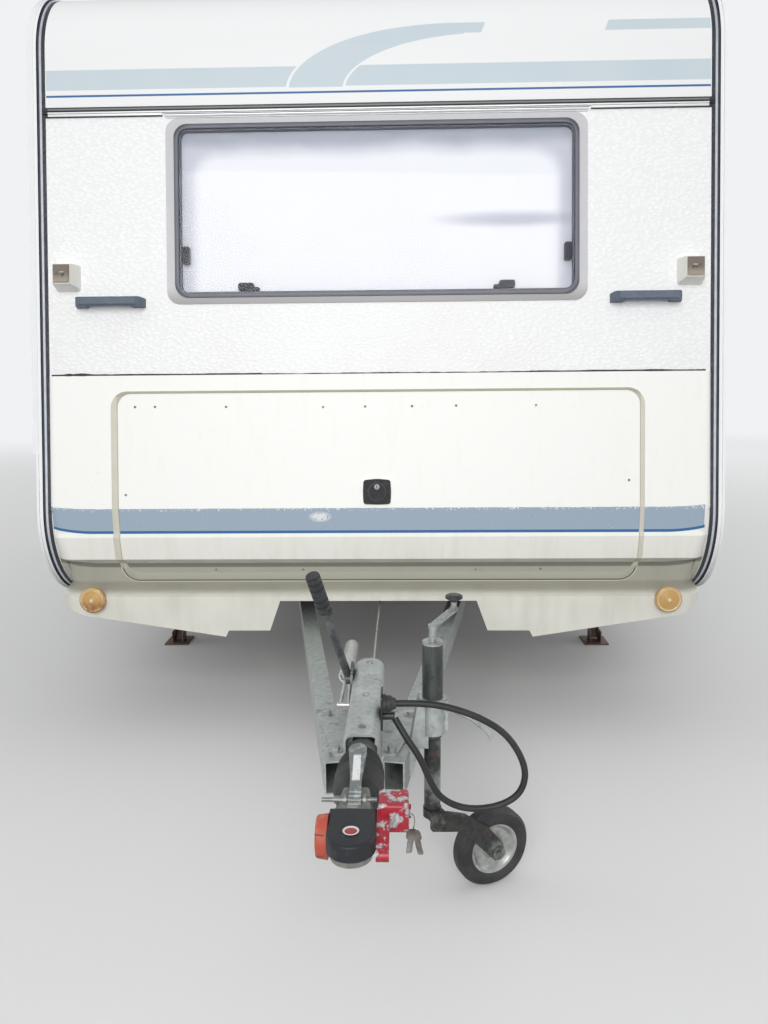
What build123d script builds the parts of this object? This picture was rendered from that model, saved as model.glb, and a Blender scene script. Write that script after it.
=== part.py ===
from build123d import *
import os
from math import asin, cos, degrees, hypot, pi, radians, sin, tan

os.makedirs("parts", exist_ok=True)

# A travel caravan, in millimetres. Z is up, the drawbar points to -Y, the door is on the -X side.
# The origin is on the ground, under the middle of the overall length.

# Overall sizes
HALF_WIDTH = 1150
BODY_LENGTH = 4500
SOCKET_REACH = 1449
DOCK_RADIUS = 46
NOSE_REACH = SOCKET_REACH + DOCK_RADIUS
REAR_LAMP_DEEP = 34
REAR_REACH = REAR_LAMP_DEEP + 10
ROOF_Z = 2600
SKIRT_Z = 470
FACE_Y = (NOSE_REACH - BODY_LENGTH - REAR_REACH) / 2
REAR_Y = FACE_Y + BODY_LENGTH

# Body shell: the walls are flat sandwich panels, and the front leans back above the knee
WALL = 30
KNEE_Z = 800
FRONT_SLOPE = 0.151
REAR_SLOPE = 0.07
ROOF_FRONT_RADIUS = 290
ROOF_REAR_RADIUS = 240
SKIRT_FRONT_RADIUS = 290
SKIRT_REAR_RADIUS = 200
SEAM_Z = 2140
FLOOR_BOTTOM = 500
FLOOR_THICK = 40
INNER_X = HALF_WIDTH - WALL

# Front moulding with the gas locker
MOULD_TOP_Z = 1261
MOULD_HALF = HALF_WIDTH - 20
MOULD_PROUD = 8
MOULD_WALL = 20
MOULD_LIP = 18
COVE_Z = 520
COVE_Y = 78
VALANCE_Z = 345
VALANCE_PROUD = 12
LOCKER_DEPTH = 420
LID_HALF = HALF_WIDTH - 257
LID_TOP_Z = 1206
LID_BOTTOM_Z = 563
LID_CORNER = 45
LID_GAP = 6
LOCK_Z = 865

# Trims over the corners: a base strip with two raised ridges, and a lip on the side wall
TRIM_INNER = HALF_WIDTH - 16
TRIM_OUTER = HALF_WIDTH + 12
TRIM_BASE = 4
TRIM_RIDGE = 9
TRIM_LIP = 26
RIDGE_INNER = HALF_WIDTH - 2
RIDGE_OUTER = HALF_WIDTH + 6
BEAD_WIDE = 8
RAIL_GROOVE = 20
AWNING_END_Z = 1000

# Windows: an acrylic pane in a rubber seal, over an opening with a closed blind
SEAL_WIDE = 15
SEAL_DEEP = 9
PANE = 5
LEDGE = 20
BLIND = 2
BLIND_DEPTH = 18
SURROUND_SIDE = 29
SURROUND_HIGH = 22
SURROUND_PROUD = 4
HINGE_RAIL = 19

# Entrance door
DOOR_FRONT = 2960
DOOR_WIDE = 580
DOOR_BOTTOM_Z = 545
DOOR_TOP_Z = 2290
DOOR_GAP = 6
DOOR_CORNER = 60

# Running gear
AXLE_BACK = 2430
AXLE_Y = FACE_Y + AXLE_BACK
TYRE_RADIUS = 295
TYRE_WIDE = 185
RIM_RADIUS = 168
TRACK_HALF = HALF_WIDTH - 140
ARCH_RADIUS = 350
LIP_WIDE = 22
LIP_PROUD = 7
WHEEL_BOX_X = HALF_WIDTH - 300
BEAM_RADIUS = 45
BEAM_LEAD = 150
ARM_INSET = 60

# Chassis and drawbar
RAIL_TOP = 405
RAIL_DEEP = 80
RAIL_WIDE = 50
RAIL_WALL = 4
RAIL_NOSE = 1010
RAIL_NOSE_X = 66
RAIL_SPREAD = 0.17
RAIL_BACK = 1900
RAIL_RISE = (250, 600)
FRAME_DEEP = 150
FRAME_FLANGE = 50

# Overrun device and coupling, on one line at the height of the draw tube
TUBE_Z = 462
DRAW_RADIUS = 25
HOUSING_WIDE = 76
HOUSING_WALL = 5
HOUSING_TOP = TUBE_Z + 59
HOUSING_REAR = 652
HOUSING_FRONT = 1118
BELLOWS_FRONT = 1286
BELLOWS_RADIUS = 50
BELLOWS_PITCH = 16
BELLOWS_FOLDS = (7, 3, 1, 0)
SOCKET_RADIUS = 25.25
SOCKET_DEEP = 32
CUP_RADIUS = 36
CUP_BOTTOM = TUBE_Z
CUP_TOP = CUP_BOTTOM + SOCKET_DEEP + 6
SLEEVE_RADIUS = 30
BELLOWS_BACK = SOCKET_REACH - BELLOWS_FRONT - 2
SHOULDER_BACK = 84
PIN_REACH = 1335
PIN_Z = TUBE_Z + 37
PIN_RADIUS = 4
PIN_LEFT = 61
PIN_RIGHT = 40
HANDLE_THICK = 9
DOCK_HALF = 42
DOCK_BACK = 74
DOCK_TOP = TUBE_Z + 45
DOCK_BOTTOM = TUBE_Z + 16
DOCK_ROOM = 1
CAP_RADIUS = 38
CAP_DEEP = 21

# Brakes
GRIP_LONG = 118
GRIP_RADIUS = 17.5
STORE_RADIUS = 20
STORE_X = -61
STORE_Z = TUBE_Z + 18
STORE_FRONT = 680
STORE_REAR = 450
BRAKE_ROD_X = 4
BRAKE_ROD_Z = TUBE_Z
BUSH_RADIUS = 8

# Jockey wheel
JOCKEY_X = 156
JOCKEY_REACH = 920
JOCKEY_RADIUS = 24
JOCKEY_WALL = 3
JOCKEY_TOP = 652
JOCKEY_BOTTOM = 427
JOCKEY_SWIVEL_Z = 244
STEM_INSIDE = 60
JOCKEY_WHEEL_RADIUS = 100
JOCKEY_TYRE_WIDE = 50
JOCKEY_TRAIL_X = 148
JOCKEY_TRAIL_Y = 70
STEM_FIT = 1.5

# Corner steadies: the strut is as long as its pin is far from the leg's hinge, so that its other end
# stays on the spindle's line while it turns twice as fast as the leg
STEADY_X = HALF_WIDTH - 160
STEADY_Z = 455
STEADY_HINGE = 1250
STEADY_LEG = 520
STEADY_ARM = 240
STEADY_STOWED = 6
FOOT_THICK = 6
FOOT_WIDE = 110
FOOT_LIFT = 24
STEADY_DOWN = degrees(asin((STEADY_Z - FOOT_LIFT) / STEADY_LEG))


def block(x0, x1, y0, y1, z0, z1):
    """A box between two corners, given side by side."""
    return Pos((x0 + x1) / 2, (y0 + y1) / 2, (z0 + z1) / 2) * Box(x1 - x0, y1 - y0, z1 - z0)


def rod(start, end, radius):
    """A round bar between two points."""
    run = Vector(*end) - Vector(*start)
    return extrude(Plane(origin=start, z_dir=run) * Circle(radius), amount=run.length)


def pipe(start, end, radius, wall):
    return rod(start, end, radius) - rod(start, end, radius - wall)


def pair(shape):
    """A piece and its mirror image on the other side."""
    return Compound(children=[*shape.solids(), *mirror(shape, about=Plane.YZ).solids()])


def together(*shapes):
    """Several solids that don't touch, as one sub-part."""
    return Compound(children=[solid for shape in shapes for solid in shape.solids()])


def front_at(z, inset=0):
    """Y of the leaning front panel at a height."""
    return FACE_Y + (z - KNEE_Z) * FRONT_SLOPE + inset * hypot(1, FRONT_SLOPE)


def rear_at(z, inset=0):
    return REAR_Y - (z - KNEE_Z) * REAR_SLOPE - inset * hypot(1, REAR_SLOPE)


def outline(inset):
    """The body's side profile, four straight runs with round corners."""
    low, high = SKIRT_Z + inset, ROOF_Z - inset
    corners = [
        (front_at(low, inset), low),
        (rear_at(low, inset), low),
        (rear_at(high, inset), high),
        (front_at(high, inset), high),
    ]
    radii = [SKIRT_FRONT_RADIUS, SKIRT_REAR_RADIUS, ROOF_REAR_RADIUS, ROOF_FRONT_RADIUS]
    return make_face(FilletPolyline(*corners, radius=[r - inset for r in radii], close=True))


def across(face, x0, x1):
    """A side profile drawn in Y and Z, extruded from one X to another."""
    return extrude(Plane.YZ.offset(x0) * face, amount=x1 - x0)


def band(outside, inside, x0, x1):
    return across(outline(outside), x0, x1) - across(outline(inside), x0, x1)


FAR = 4000
CLEAR = 40

# Planes on the outer faces, x along the wall and y up it
FRONT_PLANE = Plane(origin=(0, front_at(0), 0), x_dir=(1, 0, 0), z_dir=(0, -1, FRONT_SLOPE))
REAR_PLANE = Plane(origin=(0, rear_at(0), 0), x_dir=(-1, 0, 0), z_dir=(0, 1, REAR_SLOPE))
LEFT_PLANE = Plane(origin=(-HALF_WIDTH, 0, 0), x_dir=(0, -1, 0), z_dir=(-1, 0, 0))
RIGHT_PLANE = Plane(origin=(HALF_WIDTH, 0, 0), x_dir=(0, 1, 0), z_dir=(1, 0, 0))
LEAN = hypot(1, FRONT_SLOPE)
REAR_LEAN = hypot(1, REAR_SLOPE)

# Windows: wall, middle along the wall, middle height on it, width, height, corner radius
END_WINDOW_Z = 1808
SIDE_WINDOW_BACK = 1180
KITCHEN_BACK = 3150
WINDOWS = {
    "front": (FRONT_PLANE, 0, END_WINDOW_Z * LEAN, 1366, 583, 45),
    "rear": (REAR_PLANE, 0, END_WINDOW_Z * REAR_LEAN, 1366, 560, 45),
    "left": (LEFT_PLANE, -(FACE_Y + SIDE_WINDOW_BACK), 1720, 900, 520, 45),
    "right": (RIGHT_PLANE, FACE_Y + SIDE_WINDOW_BACK, 1720, 900, 520, 45),
    "kitchen": (RIGHT_PLANE, FACE_Y + KITCHEN_BACK, 1760, 700, 440, 45),
}


def panel(plane, u, v, wide, high, corner, low, top):
    """A rounded plate on a wall's plane, from one distance outside the wall's face to another."""
    face = Pos(u, v) * RectangleRounded(wide, high, corner)
    return extrude(plane.offset(low) * face, amount=top - low)


def window(name, shrink, low, top):
    plane, u, v, wide, high, corner = WINDOWS[name]
    radius = max(corner - shrink, 5)
    return panel(plane, u, v, wide - 2 * shrink, high - 2 * shrink, radius, low, top)


def opening(name):
    return window(name, LEDGE, -WALL - CLEAR, CLEAR)


def front_wall():
    cut = block(-INNER_X, INNER_X, FACE_Y - CLEAR, FACE_Y + 600, MOULD_TOP_Z - 35, SEAM_Z)
    return band(0, WALL, -INNER_X, INNER_X) & cut - opening("front")


def rear_wall():
    cut = block(-INNER_X, INNER_X, REAR_Y - 600, REAR_Y + CLEAR, FLOOR_BOTTOM, SEAM_Z)
    return (band(0, WALL, -INNER_X, INNER_X) & cut) - opening("rear")


HATCH_Y = FACE_Y + 2150
HATCH_SIZE = 400
HATCH_RISE = 22
HATCH_RIM = 25
HATCH_GAP = 12
# Mushroom vents: X, distance behind the face, radius
VENTS = [(-500, 3300, 80), (520, 3700, 60)]
VENT_STEM = 24
VENT_CAP = 18


def roof():
    cut = block(-INNER_X, INNER_X, FACE_Y - CLEAR, REAR_Y + CLEAR, SEAM_Z, ROOF_Z + CLEAR)
    hole = Pos(0, HATCH_Y, ROOF_Z) * Box(HATCH_SIZE, HATCH_SIZE, 4 * WALL)
    return (band(0, WALL, -INNER_X, INNER_X) & cut) - hole


def door_cut(gap):
    middle = (DOOR_BOTTOM_Z + DOOR_TOP_Z) / 2
    u = -(FACE_Y + DOOR_FRONT + DOOR_WIDE / 2)
    wide, high = DOOR_WIDE - 2 * gap, DOOR_TOP_Z - DOOR_BOTTOM_Z - 2 * gap
    return panel(LEFT_PLANE, u, middle, wide, high, DOOR_CORNER - gap, -WALL, 0)


def side_wall(side):
    inner, outer = sorted((side * INNER_X, side * HALF_WIDTH))
    wall = across(outline(0), inner, outer)
    arch = rod((inner - 1, AXLE_Y, TYRE_RADIUS), (outer + 1, AXLE_Y, TYRE_RADIUS), ARCH_RADIUS)
    wall -= arch
    if side < 0:
        return wall - opening("left") - door_cut(0)
    return wall - opening("right") - opening("kitchen")


def floor():
    level = block(-FAR, FAR, -FAR, FAR, FLOOR_BOTTOM, FLOOR_BOTTOM + FLOOR_THICK)
    plate = (across(outline(WALL), -INNER_X, INNER_X) & level) + (mould_solid(MOULD_WALL) & level)
    plate -= mould_shell()
    notch = block(WHEEL_BOX_X, FAR, AXLE_Y - ARCH_RADIUS, AXLE_Y + ARCH_RADIUS, 0, FAR)
    return plate - notch - mirror(notch, about=Plane.YZ)


def wheel_boxes():
    """Arched boxes over the wheels, standing on the notched floor."""
    skin = 8
    start, end = (WHEEL_BOX_X, AXLE_Y, TYRE_RADIUS), (INNER_X, AXLE_Y, TYRE_RADIUS)
    inside = (WHEEL_BOX_X + skin, AXLE_Y, TYRE_RADIUS)
    shell = rod(start, end, ARCH_RADIUS + skin) - rod(inside, end, ARCH_RADIUS)
    keep = block(WHEEL_BOX_X, INNER_X, AXLE_Y - FAR, AXLE_Y + FAR, FLOOR_BOTTOM + FLOOR_THICK, FAR)
    return pair(shell & keep)


# Sections of the front moulding: height, how far the face stands behind the knee line, corner radius
MOULD_SECTIONS = [
    (MOULD_TOP_Z, (MOULD_TOP_Z - KNEE_Z) * FRONT_SLOPE - MOULD_PROUD, 24),
    (811, -MOULD_PROUD, 24),
    (726, -MOULD_PROUD, 40),
    (712, -2 * MOULD_PROUD, 45),
    (632, -4, 70),
    (612, 34, 70),
    (COVE_Z, COVE_Y, 80),
    (COVE_Z - 20, -VALANCE_PROUD, 100),
    (VALANCE_Z, -VALANCE_PROUD + 20, 100),
]
MOULD_BACK = 260


def mould_section(z, y, corner, inset):
    """The moulding's plan at one height: a bar with two round front corners."""
    half, radius = MOULD_HALF - inset, corner - inset
    front, back = FACE_Y + y + inset, FACE_Y + MOULD_BACK
    plan = Polyline((half, back), (-half, back), (-half, front + radius))
    plan += RadiusArc((-half, front + radius), (-half + radius, front), -radius)
    plan += Line((-half + radius, front), (half - radius, front))
    plan += RadiusArc((half - radius, front), (half, front + radius), -radius)
    plan += Line((half, front + radius), (half, back))
    return Pos(0, 0, z) * make_face(plan)


def mould_solid(inset):
    return loft([mould_section(*section, inset) for section in MOULD_SECTIONS], ruled=True)


def mould_shell():
    """The moulding's skin, with a lip at each end that follows the side wall's edge."""
    shell = mould_solid(0) - mould_solid(MOULD_WALL)
    keep = block(-FAR, FAR, -FAR, FAR, COVE_Z, MOULD_TOP_Z - 35)
    lip_x = INNER_X - 1
    ahead = block(-FAR, FAR, -FAR, FACE_Y + MOULD_BACK, 0, FAR)
    lip = band(0, MOULD_LIP, lip_x - MOULD_WALL, lip_x) & keep & ahead
    side = across(outline(-1), lip_x, FAR)
    for shape in (lip, mirror(lip, about=Plane.YZ)):
        shell += shape
    return shell - side - mirror(side, about=Plane.YZ)


def lid_cut(gap):
    wide, high = 2 * (LID_HALF - gap), LID_TOP_Z - LID_BOTTOM_Z - 2 * gap
    middle = (LID_TOP_Z + LID_BOTTOM_Z) / 2
    face = Pos(0, middle) * RectangleRounded(wide, high, LID_CORNER - gap)
    return extrude(Plane.XZ.offset(-FACE_Y - 160) * face, amount=FAR)


# Lower edge of the valance on one side: half width and height
VALANCE_EDGE = [
    (341, 484),
    (382, 372),
    (528, 372),
    (540, 348),
    (MOULD_HALF - 94, 430),
    (MOULD_HALF - 35, 452),
    (MOULD_HALF - 8, 478),
    (MOULD_HALF, 505),
]


def locker_shell():
    shell = mould_shell()
    shell -= across(outline(0), -MOULD_HALF, MOULD_HALF) & block(-FAR, FAR, -FAR, FAR, MOULD_TOP_Z - 35, FAR)
    edge = Polyline((0, 484), *VALANCE_EDGE, (FAR, 505), (FAR, 0), (0, 0), (0, 484))
    away = extrude(Plane.XZ.offset(-FACE_Y - MOULD_BACK - 1) * make_face(edge), amount=FAR)
    shell -= away
    shell -= mirror(away, about=Plane.YZ)
    return shell - lid_cut(0)


def lid_lock():
    """A square escutcheon with a round barrel, on the lid's middle."""
    face_y = FACE_Y + (LOCK_Z - KNEE_Z) * FRONT_SLOPE - MOULD_PROUD
    plane = Plane(origin=(0, face_y, LOCK_Z), x_dir=(1, 0, 0), z_dir=(0, -1, FRONT_SLOPE))
    plate = extrude(plane.offset(-6) * RectangleRounded(95, 85, 12), amount=14)
    barrel = extrude(plane.offset(8) * (Pos(0, -2) * Circle(30)), amount=4)
    key = extrude(plane.offset(12) * (Pos(0, 18) * Circle(9)), amount=4)
    return plate + barrel + key


def locker_lid():
    return (mould_shell() & lid_cut(LID_GAP)) + lid_lock()


def locker_bulkhead():
    """The wall and top shelf that part the locker from the cabin."""
    thick = 15
    y1 = FACE_Y + LOCKER_DEPTH
    z1 = MOULD_TOP_Z - 35
    back = block(-INNER_X, INNER_X, y1 - thick, y1, FLOOR_BOTTOM + FLOOR_THICK, z1)
    shelf = block(-INNER_X, INNER_X, front_at(z1, WALL), y1, z1 - thick, z1)
    return back + shelf - mould_shell()


def trim(awning):
    """A corner trim: base strip, inner ridge, outer bead and the lip on the side wall."""
    strip = band(-TRIM_BASE, 0, TRIM_INNER, TRIM_OUTER)
    ridge = band(-TRIM_RIDGE, 0, RIDGE_INNER, RIDGE_OUTER)
    lip = band(0, TRIM_LIP, HALF_WIDTH, TRIM_OUTER)
    bead = band(-TRIM_RIDGE, TRIM_LIP / 2, TRIM_OUTER, TRIM_OUTER + BEAD_WIDE)
    if awning:
        bead &= block(-FAR, FAR, -FAR, FAR, 0, AWNING_END_Z)
    keep = block(-FAR, FAR, -FAR, FAR, SKIRT_Z + 12, FAR)
    keep -= rod((-FAR, AXLE_Y, TYRE_RADIUS), (FAR, AXLE_Y, TYRE_RADIUS), ARCH_RADIUS + LIP_WIDE)
    return (strip + ridge + lip + bead) & keep


def corner_trims():
    return together(trim(False), mirror(trim(True), about=Plane.YZ))


def awning_rail():
    """A hollow rail for the tent's bead, open to the outside by a slot."""
    x0, x1 = TRIM_OUTER, TRIM_OUTER + RAIL_GROOVE
    rail = band(-6, 12, x0, x1) - band(-1, 8, x0 + 3, x1 - 3) - band(2, 5, x0 + 8, x1 + 1)
    keep = block(-FAR, FAR, -FAR, FAR, AWNING_END_Z, FAR)
    return mirror(rail & keep, about=Plane.YZ)


def seam_rails():
    """Rails over the seams between walls and roof, and the hinge rails of the end windows."""
    low, high = SEAM_Z - 2, SEAM_Z + 18
    rail = band(-9, 0, -MOULD_HALF, MOULD_HALF) & block(-FAR, FAR, -FAR, FAR, low, high)
    rail -= band(-10, -6, -MOULD_HALF - 1, MOULD_HALF + 1) & block(-FAR, FAR, -FAR, FAR, low + 5, low + 8)
    hinges = []
    for name in ("front", "rear"):
        plane, u, v, wide, high, corner = WINDOWS[name]
        length = wide + 2 * SURROUND_SIDE
        middle = v + high / 2 + SURROUND_HIGH + HINGE_RAIL / 2
        flange = panel(plane, u, middle, length, HINGE_RAIL - 2, 3, 0, 5)
        barrel = rod((u - length / 2, middle, 6), (u + length / 2, middle, 6), 6.5)
        above = block(-FAR, FAR, -FAR, FAR, 0, FAR)
        hinges.append(flange + plane.location * (barrel & above))
    return together(rail, *hinges)


def window_catches(name):
    """The catches and stays behind a pane: two levers at the foot and a stay at each side."""
    plane, u, v, wide, high, corner = WINDOWS[name]
    foot = v - high / 2
    pieces = []
    for side in (-1, 1):
        stay_u = u + side * (wide / 2 - SEAL_WIDE - LEDGE - 1)
        pieces.append(panel(plane, stay_u, foot + 144, 24, 60, 6, -12, 2))
        catch_u = u + side * wide * 0.324
        lever = panel(plane, catch_u - side * 26, foot + 28, 40, 12, 5, -8, 2)
        pieces.append(panel(plane, catch_u, foot + 36, 54, 26, 8, -12, 2) + lever)
    return pieces


def window_seals():
    rings = [window(name, 0, 0, SEAL_DEEP) - window(name, SEAL_WIDE, -1, CLEAR) for name in WINDOWS]
    catches = [piece for name in WINDOWS for piece in window_catches(name)]
    return together(*rings, *catches)


def window_panes():
    return together(*[window(name, SEAL_WIDE, 2, 2 + PANE) for name in WINDOWS])


def window_surrounds():
    rings = []
    for name in ("front", "rear"):
        plane, u, v, wide, high, corner = WINDOWS[name]
        outer = (wide + 2 * SURROUND_SIDE, high + 2 * SURROUND_HIGH - 2)
        plate = panel(plane, u, v, *outer, corner, 0, SURROUND_PROUD)
        rings.append(plate - window(name, 0, -1, CLEAR))
    return together(*rings)


def blinds():
    return together(*[window(name, LEDGE, -BLIND_DEPTH - BLIND, -BLIND_DEPTH) for name in WINDOWS])


def on_front(x, z):
    """A working plane on the front wall, facing out."""
    return Plane(origin=(x, front_at(z), z), x_dir=(1, 0, 0), z_dir=(0, -1, FRONT_SLOPE))


def on_rear(x, z):
    return Plane(origin=(x, rear_at(z), z), x_dir=(-1, 0, 0), z_dir=(0, 1, REAR_SLOPE))


GRAB_LONG = 237
GRAB_X = HALF_WIDTH - 245
GRAB_Z = 1503
GRAB_RISE = 48
GRAB_THICK = 14
GRAB_HIGH = 30


def grab_handle(plane):
    """A moulded handle: a bow seen from above, with splayed feet and soft edges."""
    half = GRAB_LONG / 2
    under = GRAB_RISE - GRAB_THICK
    bow = Polyline(
        (-half, 0),
        (-half + 8, GRAB_RISE - 12),
        (-half + 24, GRAB_RISE),
        (half - 24, GRAB_RISE),
        (half - 8, GRAB_RISE - 12),
        (half, 0),
        (half - 40, 0),
        (half - 46, under),
        (-half + 46, under),
        (-half + 40, 0),
        close=True,
    )
    side = Plane(origin=plane.origin, x_dir=plane.x_dir, z_dir=-plane.y_dir)
    shape = extrude(side.offset(-GRAB_HIGH / 2) * make_face(bow), amount=GRAB_HIGH)
    long_edges = shape.edges().filter_by(Axis(plane.origin, plane.x_dir))
    return chamfer(long_edges.sort_by(Axis(plane.origin, plane.z_dir))[-2:], 5)


def grab_handles():
    planes = [on_front(GRAB_X, GRAB_Z), on_front(-GRAB_X, GRAB_Z)]
    planes += [on_rear(GRAB_X, GRAB_Z), on_rear(-GRAB_X, GRAB_Z)]
    return together(*[grab_handle(plane) for plane in planes])


CORNER_LAMP_X = HALF_WIDTH - 98
CORNER_LAMP_Z = 1590
CORNER_LAMP_DEEP = 60
MARKER_X = HALF_WIDTH - 155
MARKER_Z = 491
MARKER_RADIUS = 45
REAR_LAMP_X = HALF_WIDTH - 165
REAR_LAMP_Z = 760
REAR_LAMP_HIGH = 240


def position_lamps():
    """Tapered lamps at the upper corners, each with a raised lens."""
    lamps = []
    for side in (-1, 1):
        plane = on_front(side * CORNER_LAMP_X, CORNER_LAMP_Z)
        body = extrude(plane * RectangleRounded(85, 92, 10), amount=CORNER_LAMP_DEEP, taper=12)
        lens = plane.offset(CORNER_LAMP_DEEP) * RectangleRounded(48, 54, 8)
        lamps.append(body + extrude(lens, amount=3))
    return together(*lamps)


def marker_lamps():
    """Round reflectors low on the valance: a base, a stepped rim and a low dome with a pip."""
    face_y = FACE_Y - VALANCE_PROUD + 3
    radius = MARKER_RADIUS
    rim = [(radius, 0), (radius, 16), (radius - 5, 19), (radius - 8, 17)]
    profile = Polyline((0, 0), *rim, (5, 23), (4, 27), (0, 27), close=True)
    lamp = revolve(make_face(profile), axis=Axis.Y, revolution_arc=360)
    return pair(Pos(MARKER_X, face_y, MARKER_Z) * mirror(lamp, about=Plane.XZ) - mould_solid(0))


def rear_lamps():
    """Lamp clusters: a backplate with a row of raised lenses."""
    lamps = []
    base, rows = REAR_LAMP_DEEP * 0.6, 3
    pitch = (REAR_LAMP_HIGH - 20) / rows
    for x in (-REAR_LAMP_X, REAR_LAMP_X):
        plane = on_rear(x, REAR_LAMP_Z)
        lamp = extrude(plane * RectangleRounded(110, REAR_LAMP_HIGH, 14), amount=base)
        for row in range(rows):
            lens = Pos(0, (row - (rows - 1) / 2) * pitch) * RectangleRounded(92, pitch - 8, 8)
            lamp += extrude(plane.offset(base) * lens, amount=REAR_LAMP_DEEP - base, taper=8)
        lamps.append(lamp)
    return together(*lamps)


def door_hinges():
    """Leaf and knuckle of each hinge, on the door's front edge."""
    y = FACE_Y + DOOR_FRONT
    x = -HALF_WIDTH - 8
    leaves = []
    for z in DOOR_HINGE_Z:
        knuckle = rod((x, y, z - 40), (x, y, z + 40), 6.5)
        leaves.append(knuckle + block(x + 2, x + 8, y, y + 45, z - 35, z + 35))
    return leaves


def entrance_door():
    door = door_cut(DOOR_GAP) - door_window(DOOR_LEDGE, -WALL - 1, 1)
    for hinge in door_hinges():
        door += hinge
    return door


DOOR_HANDLE_Z = 1260
DOOR_HINGE_Z = (DOOR_BOTTOM_Z + 250, DOOR_TOP_Z - 250)
DOOR_LEDGE = 18
DOOR_WINDOW = (360, 480, DOOR_TOP_Z - 470, 40)


def door_window(shrink, low, top):
    wide, high, z, corner = DOOR_WINDOW
    u = -(FACE_Y + DOOR_FRONT + DOOR_WIDE / 2)
    return panel(LEFT_PLANE, u, z, wide - 2 * shrink, high - 2 * shrink, corner - shrink, low, top)


def door_glazing():
    return door_window(0, 0, 7)


def door_handle():
    """A recessed plate with a pull bowed over it and a round lock barrel below."""
    y = FACE_Y + DOOR_FRONT + DOOR_WIDE - 65
    x = -HALF_WIDTH
    z = DOOR_HANDLE_Z
    plate = block(x - 12, x, y - 30, y + 30, z - 70, z + 70)
    plate = fillet(plate.edges().filter_by(Axis.X), 12)
    bow = Polyline((x - 12, z - 8), (x - 34, z + 4), (x - 34, z + 42), (x - 12, z + 54), close=True)
    pull = extrude(Plane.XZ.offset(-y - 12) * make_face(bow), amount=24)
    return plate + pull + rod((x - 12, y, z - 40), (x - 20, y, z - 40), 13)


def roof_hatch():
    """A domed lid that overlaps the raised frame of the hatch."""
    inner = HATCH_SIZE + 2 * HATCH_RIM + 2 * HATCH_GAP
    size = inner + 10
    z0 = ROOF_Z + 6
    dome = extrude(Pos(0, HATCH_Y, z0) * RectangleRounded(size, size, 40), amount=60, taper=10)
    hollow = extrude(Pos(0, HATCH_Y, z0) * RectangleRounded(inner, inner, 36), amount=55, taper=10)
    return dome - hollow


def hatch_frame():
    outer, inner = HATCH_SIZE + 2 * HATCH_RIM, HATCH_SIZE
    ring = extrude(Pos(0, HATCH_Y, ROOF_Z) * RectangleRounded(outer, outer, 36), amount=HATCH_RISE)
    ring -= Pos(0, HATCH_Y, ROOF_Z) * Box(inner, inner, 6 * HATCH_RISE)
    vents = []
    for x, back, radius in VENTS:
        brim, stem = radius, radius * 0.6
        top = VENT_STEM + VENT_CAP
        edge = [(stem, VENT_STEM), (brim, VENT_STEM - 6), (brim, VENT_STEM + 4), (stem, top)]
        profile = make_face(Plane.XZ * Polyline((0, 0), (stem, 0), *edge, (0, top), close=True))
        vent = revolve(profile, axis=Axis.Z, revolution_arc=360)
        vents.append(Pos(x, FACE_Y + back, ROOF_Z) * vent)
    return together(ring, *vents)


# Plates on the walls: plane, along the wall, height, width, height of the plate
PLATE_SPOT_Z = 780
FILLER_BACK = 3850
INLET_BACK = 4050
PLATE_THICK = 9
PLATE_SPOT = (REAR_PLANE, 0, PLATE_SPOT_Z * REAR_LEAN, 540, 130)
GRILLES = [
    (RIGHT_PLANE, FACE_Y + KITCHEN_BACK, 1130, 440, 210),
    (RIGHT_PLANE, FACE_Y + KITCHEN_BACK, 760, 440, 210),
]
FILLER = (RIGHT_PLANE, FACE_Y + FILLER_BACK, 800, 170, 170)
INLET = (LEFT_PLANE, -(FACE_Y + INLET_BACK), 780, 140, 170)


def plate(fitting, top=PLATE_THICK):
    plane, u, v, wide, high = fitting
    return panel(plane, u, v, wide, high, 12, 0, top)


def grille(fitting):
    """A plate with a stack of louvre slots."""
    plane, u, v, wide, high = fitting
    slots = 7
    pitch = (high - 30) / slots
    shape = plate(fitting)
    for row in range(slots):
        slot_v = v + (row - (slots - 1) / 2) * pitch
        shape -= panel(plane, u, slot_v, wide - 50, pitch - 10, 4, 3, PLATE_THICK + 1)
    return shape


def filler():
    """The water filler: a dished plate with a round cap and its grip."""
    plane, u, v, wide, high = FILLER
    cap = extrude(plane.offset(PLATE_THICK) * (Pos(u, v) * Circle(50)), amount=10, taper=10)
    grip = panel(plane, u, v, 70, 16, 6, PLATE_THICK + 9, PLATE_THICK + 20)
    return plate(FILLER) + cap + grip


def inlet():
    """The mains inlet: a plate with a hinged flap."""
    plane, u, v, wide, high = INLET
    flap = panel(plane, u, v - 8, wide - 30, high - 44, 10, PLATE_THICK, PLATE_THICK + 8)
    pivot = v + high / 2 - 22
    barrel = plane.location * rod((u - 40, pivot, PLATE_THICK), (u + 40, pivot, PLATE_THICK), 7)
    return plate(INLET) + flap + barrel


def arch_lips():
    """Half-round lips over the wheel arches."""
    lips = []
    for side in (-1, 1):
        x0, x1 = side * HALF_WIDTH, side * (HALF_WIDTH + LIP_PROUD)
        lip = rod((x0, AXLE_Y, TYRE_RADIUS), (x1, AXLE_Y, TYRE_RADIUS), ARCH_RADIUS + LIP_WIDE)
        lip -= rod((x0 - side, AXLE_Y, TYRE_RADIUS), (x1 + side, AXLE_Y, TYRE_RADIUS), ARCH_RADIUS)
        lips.append(lip & block(-FAR, FAR, -FAR, FAR, SKIRT_Z, FAR))
    return lips


def side_fittings():
    grilles = [grille(fitting) for fitting in GRILLES]
    return together(plate(PLATE_SPOT), *grilles, filler(), inlet(), *arch_lips())


def rail_x(y):
    """X of a drawbar rail's middle, y measured from the locker's face."""
    return RAIL_NOSE_X + (y + RAIL_NOSE) * RAIL_SPREAD


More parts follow.
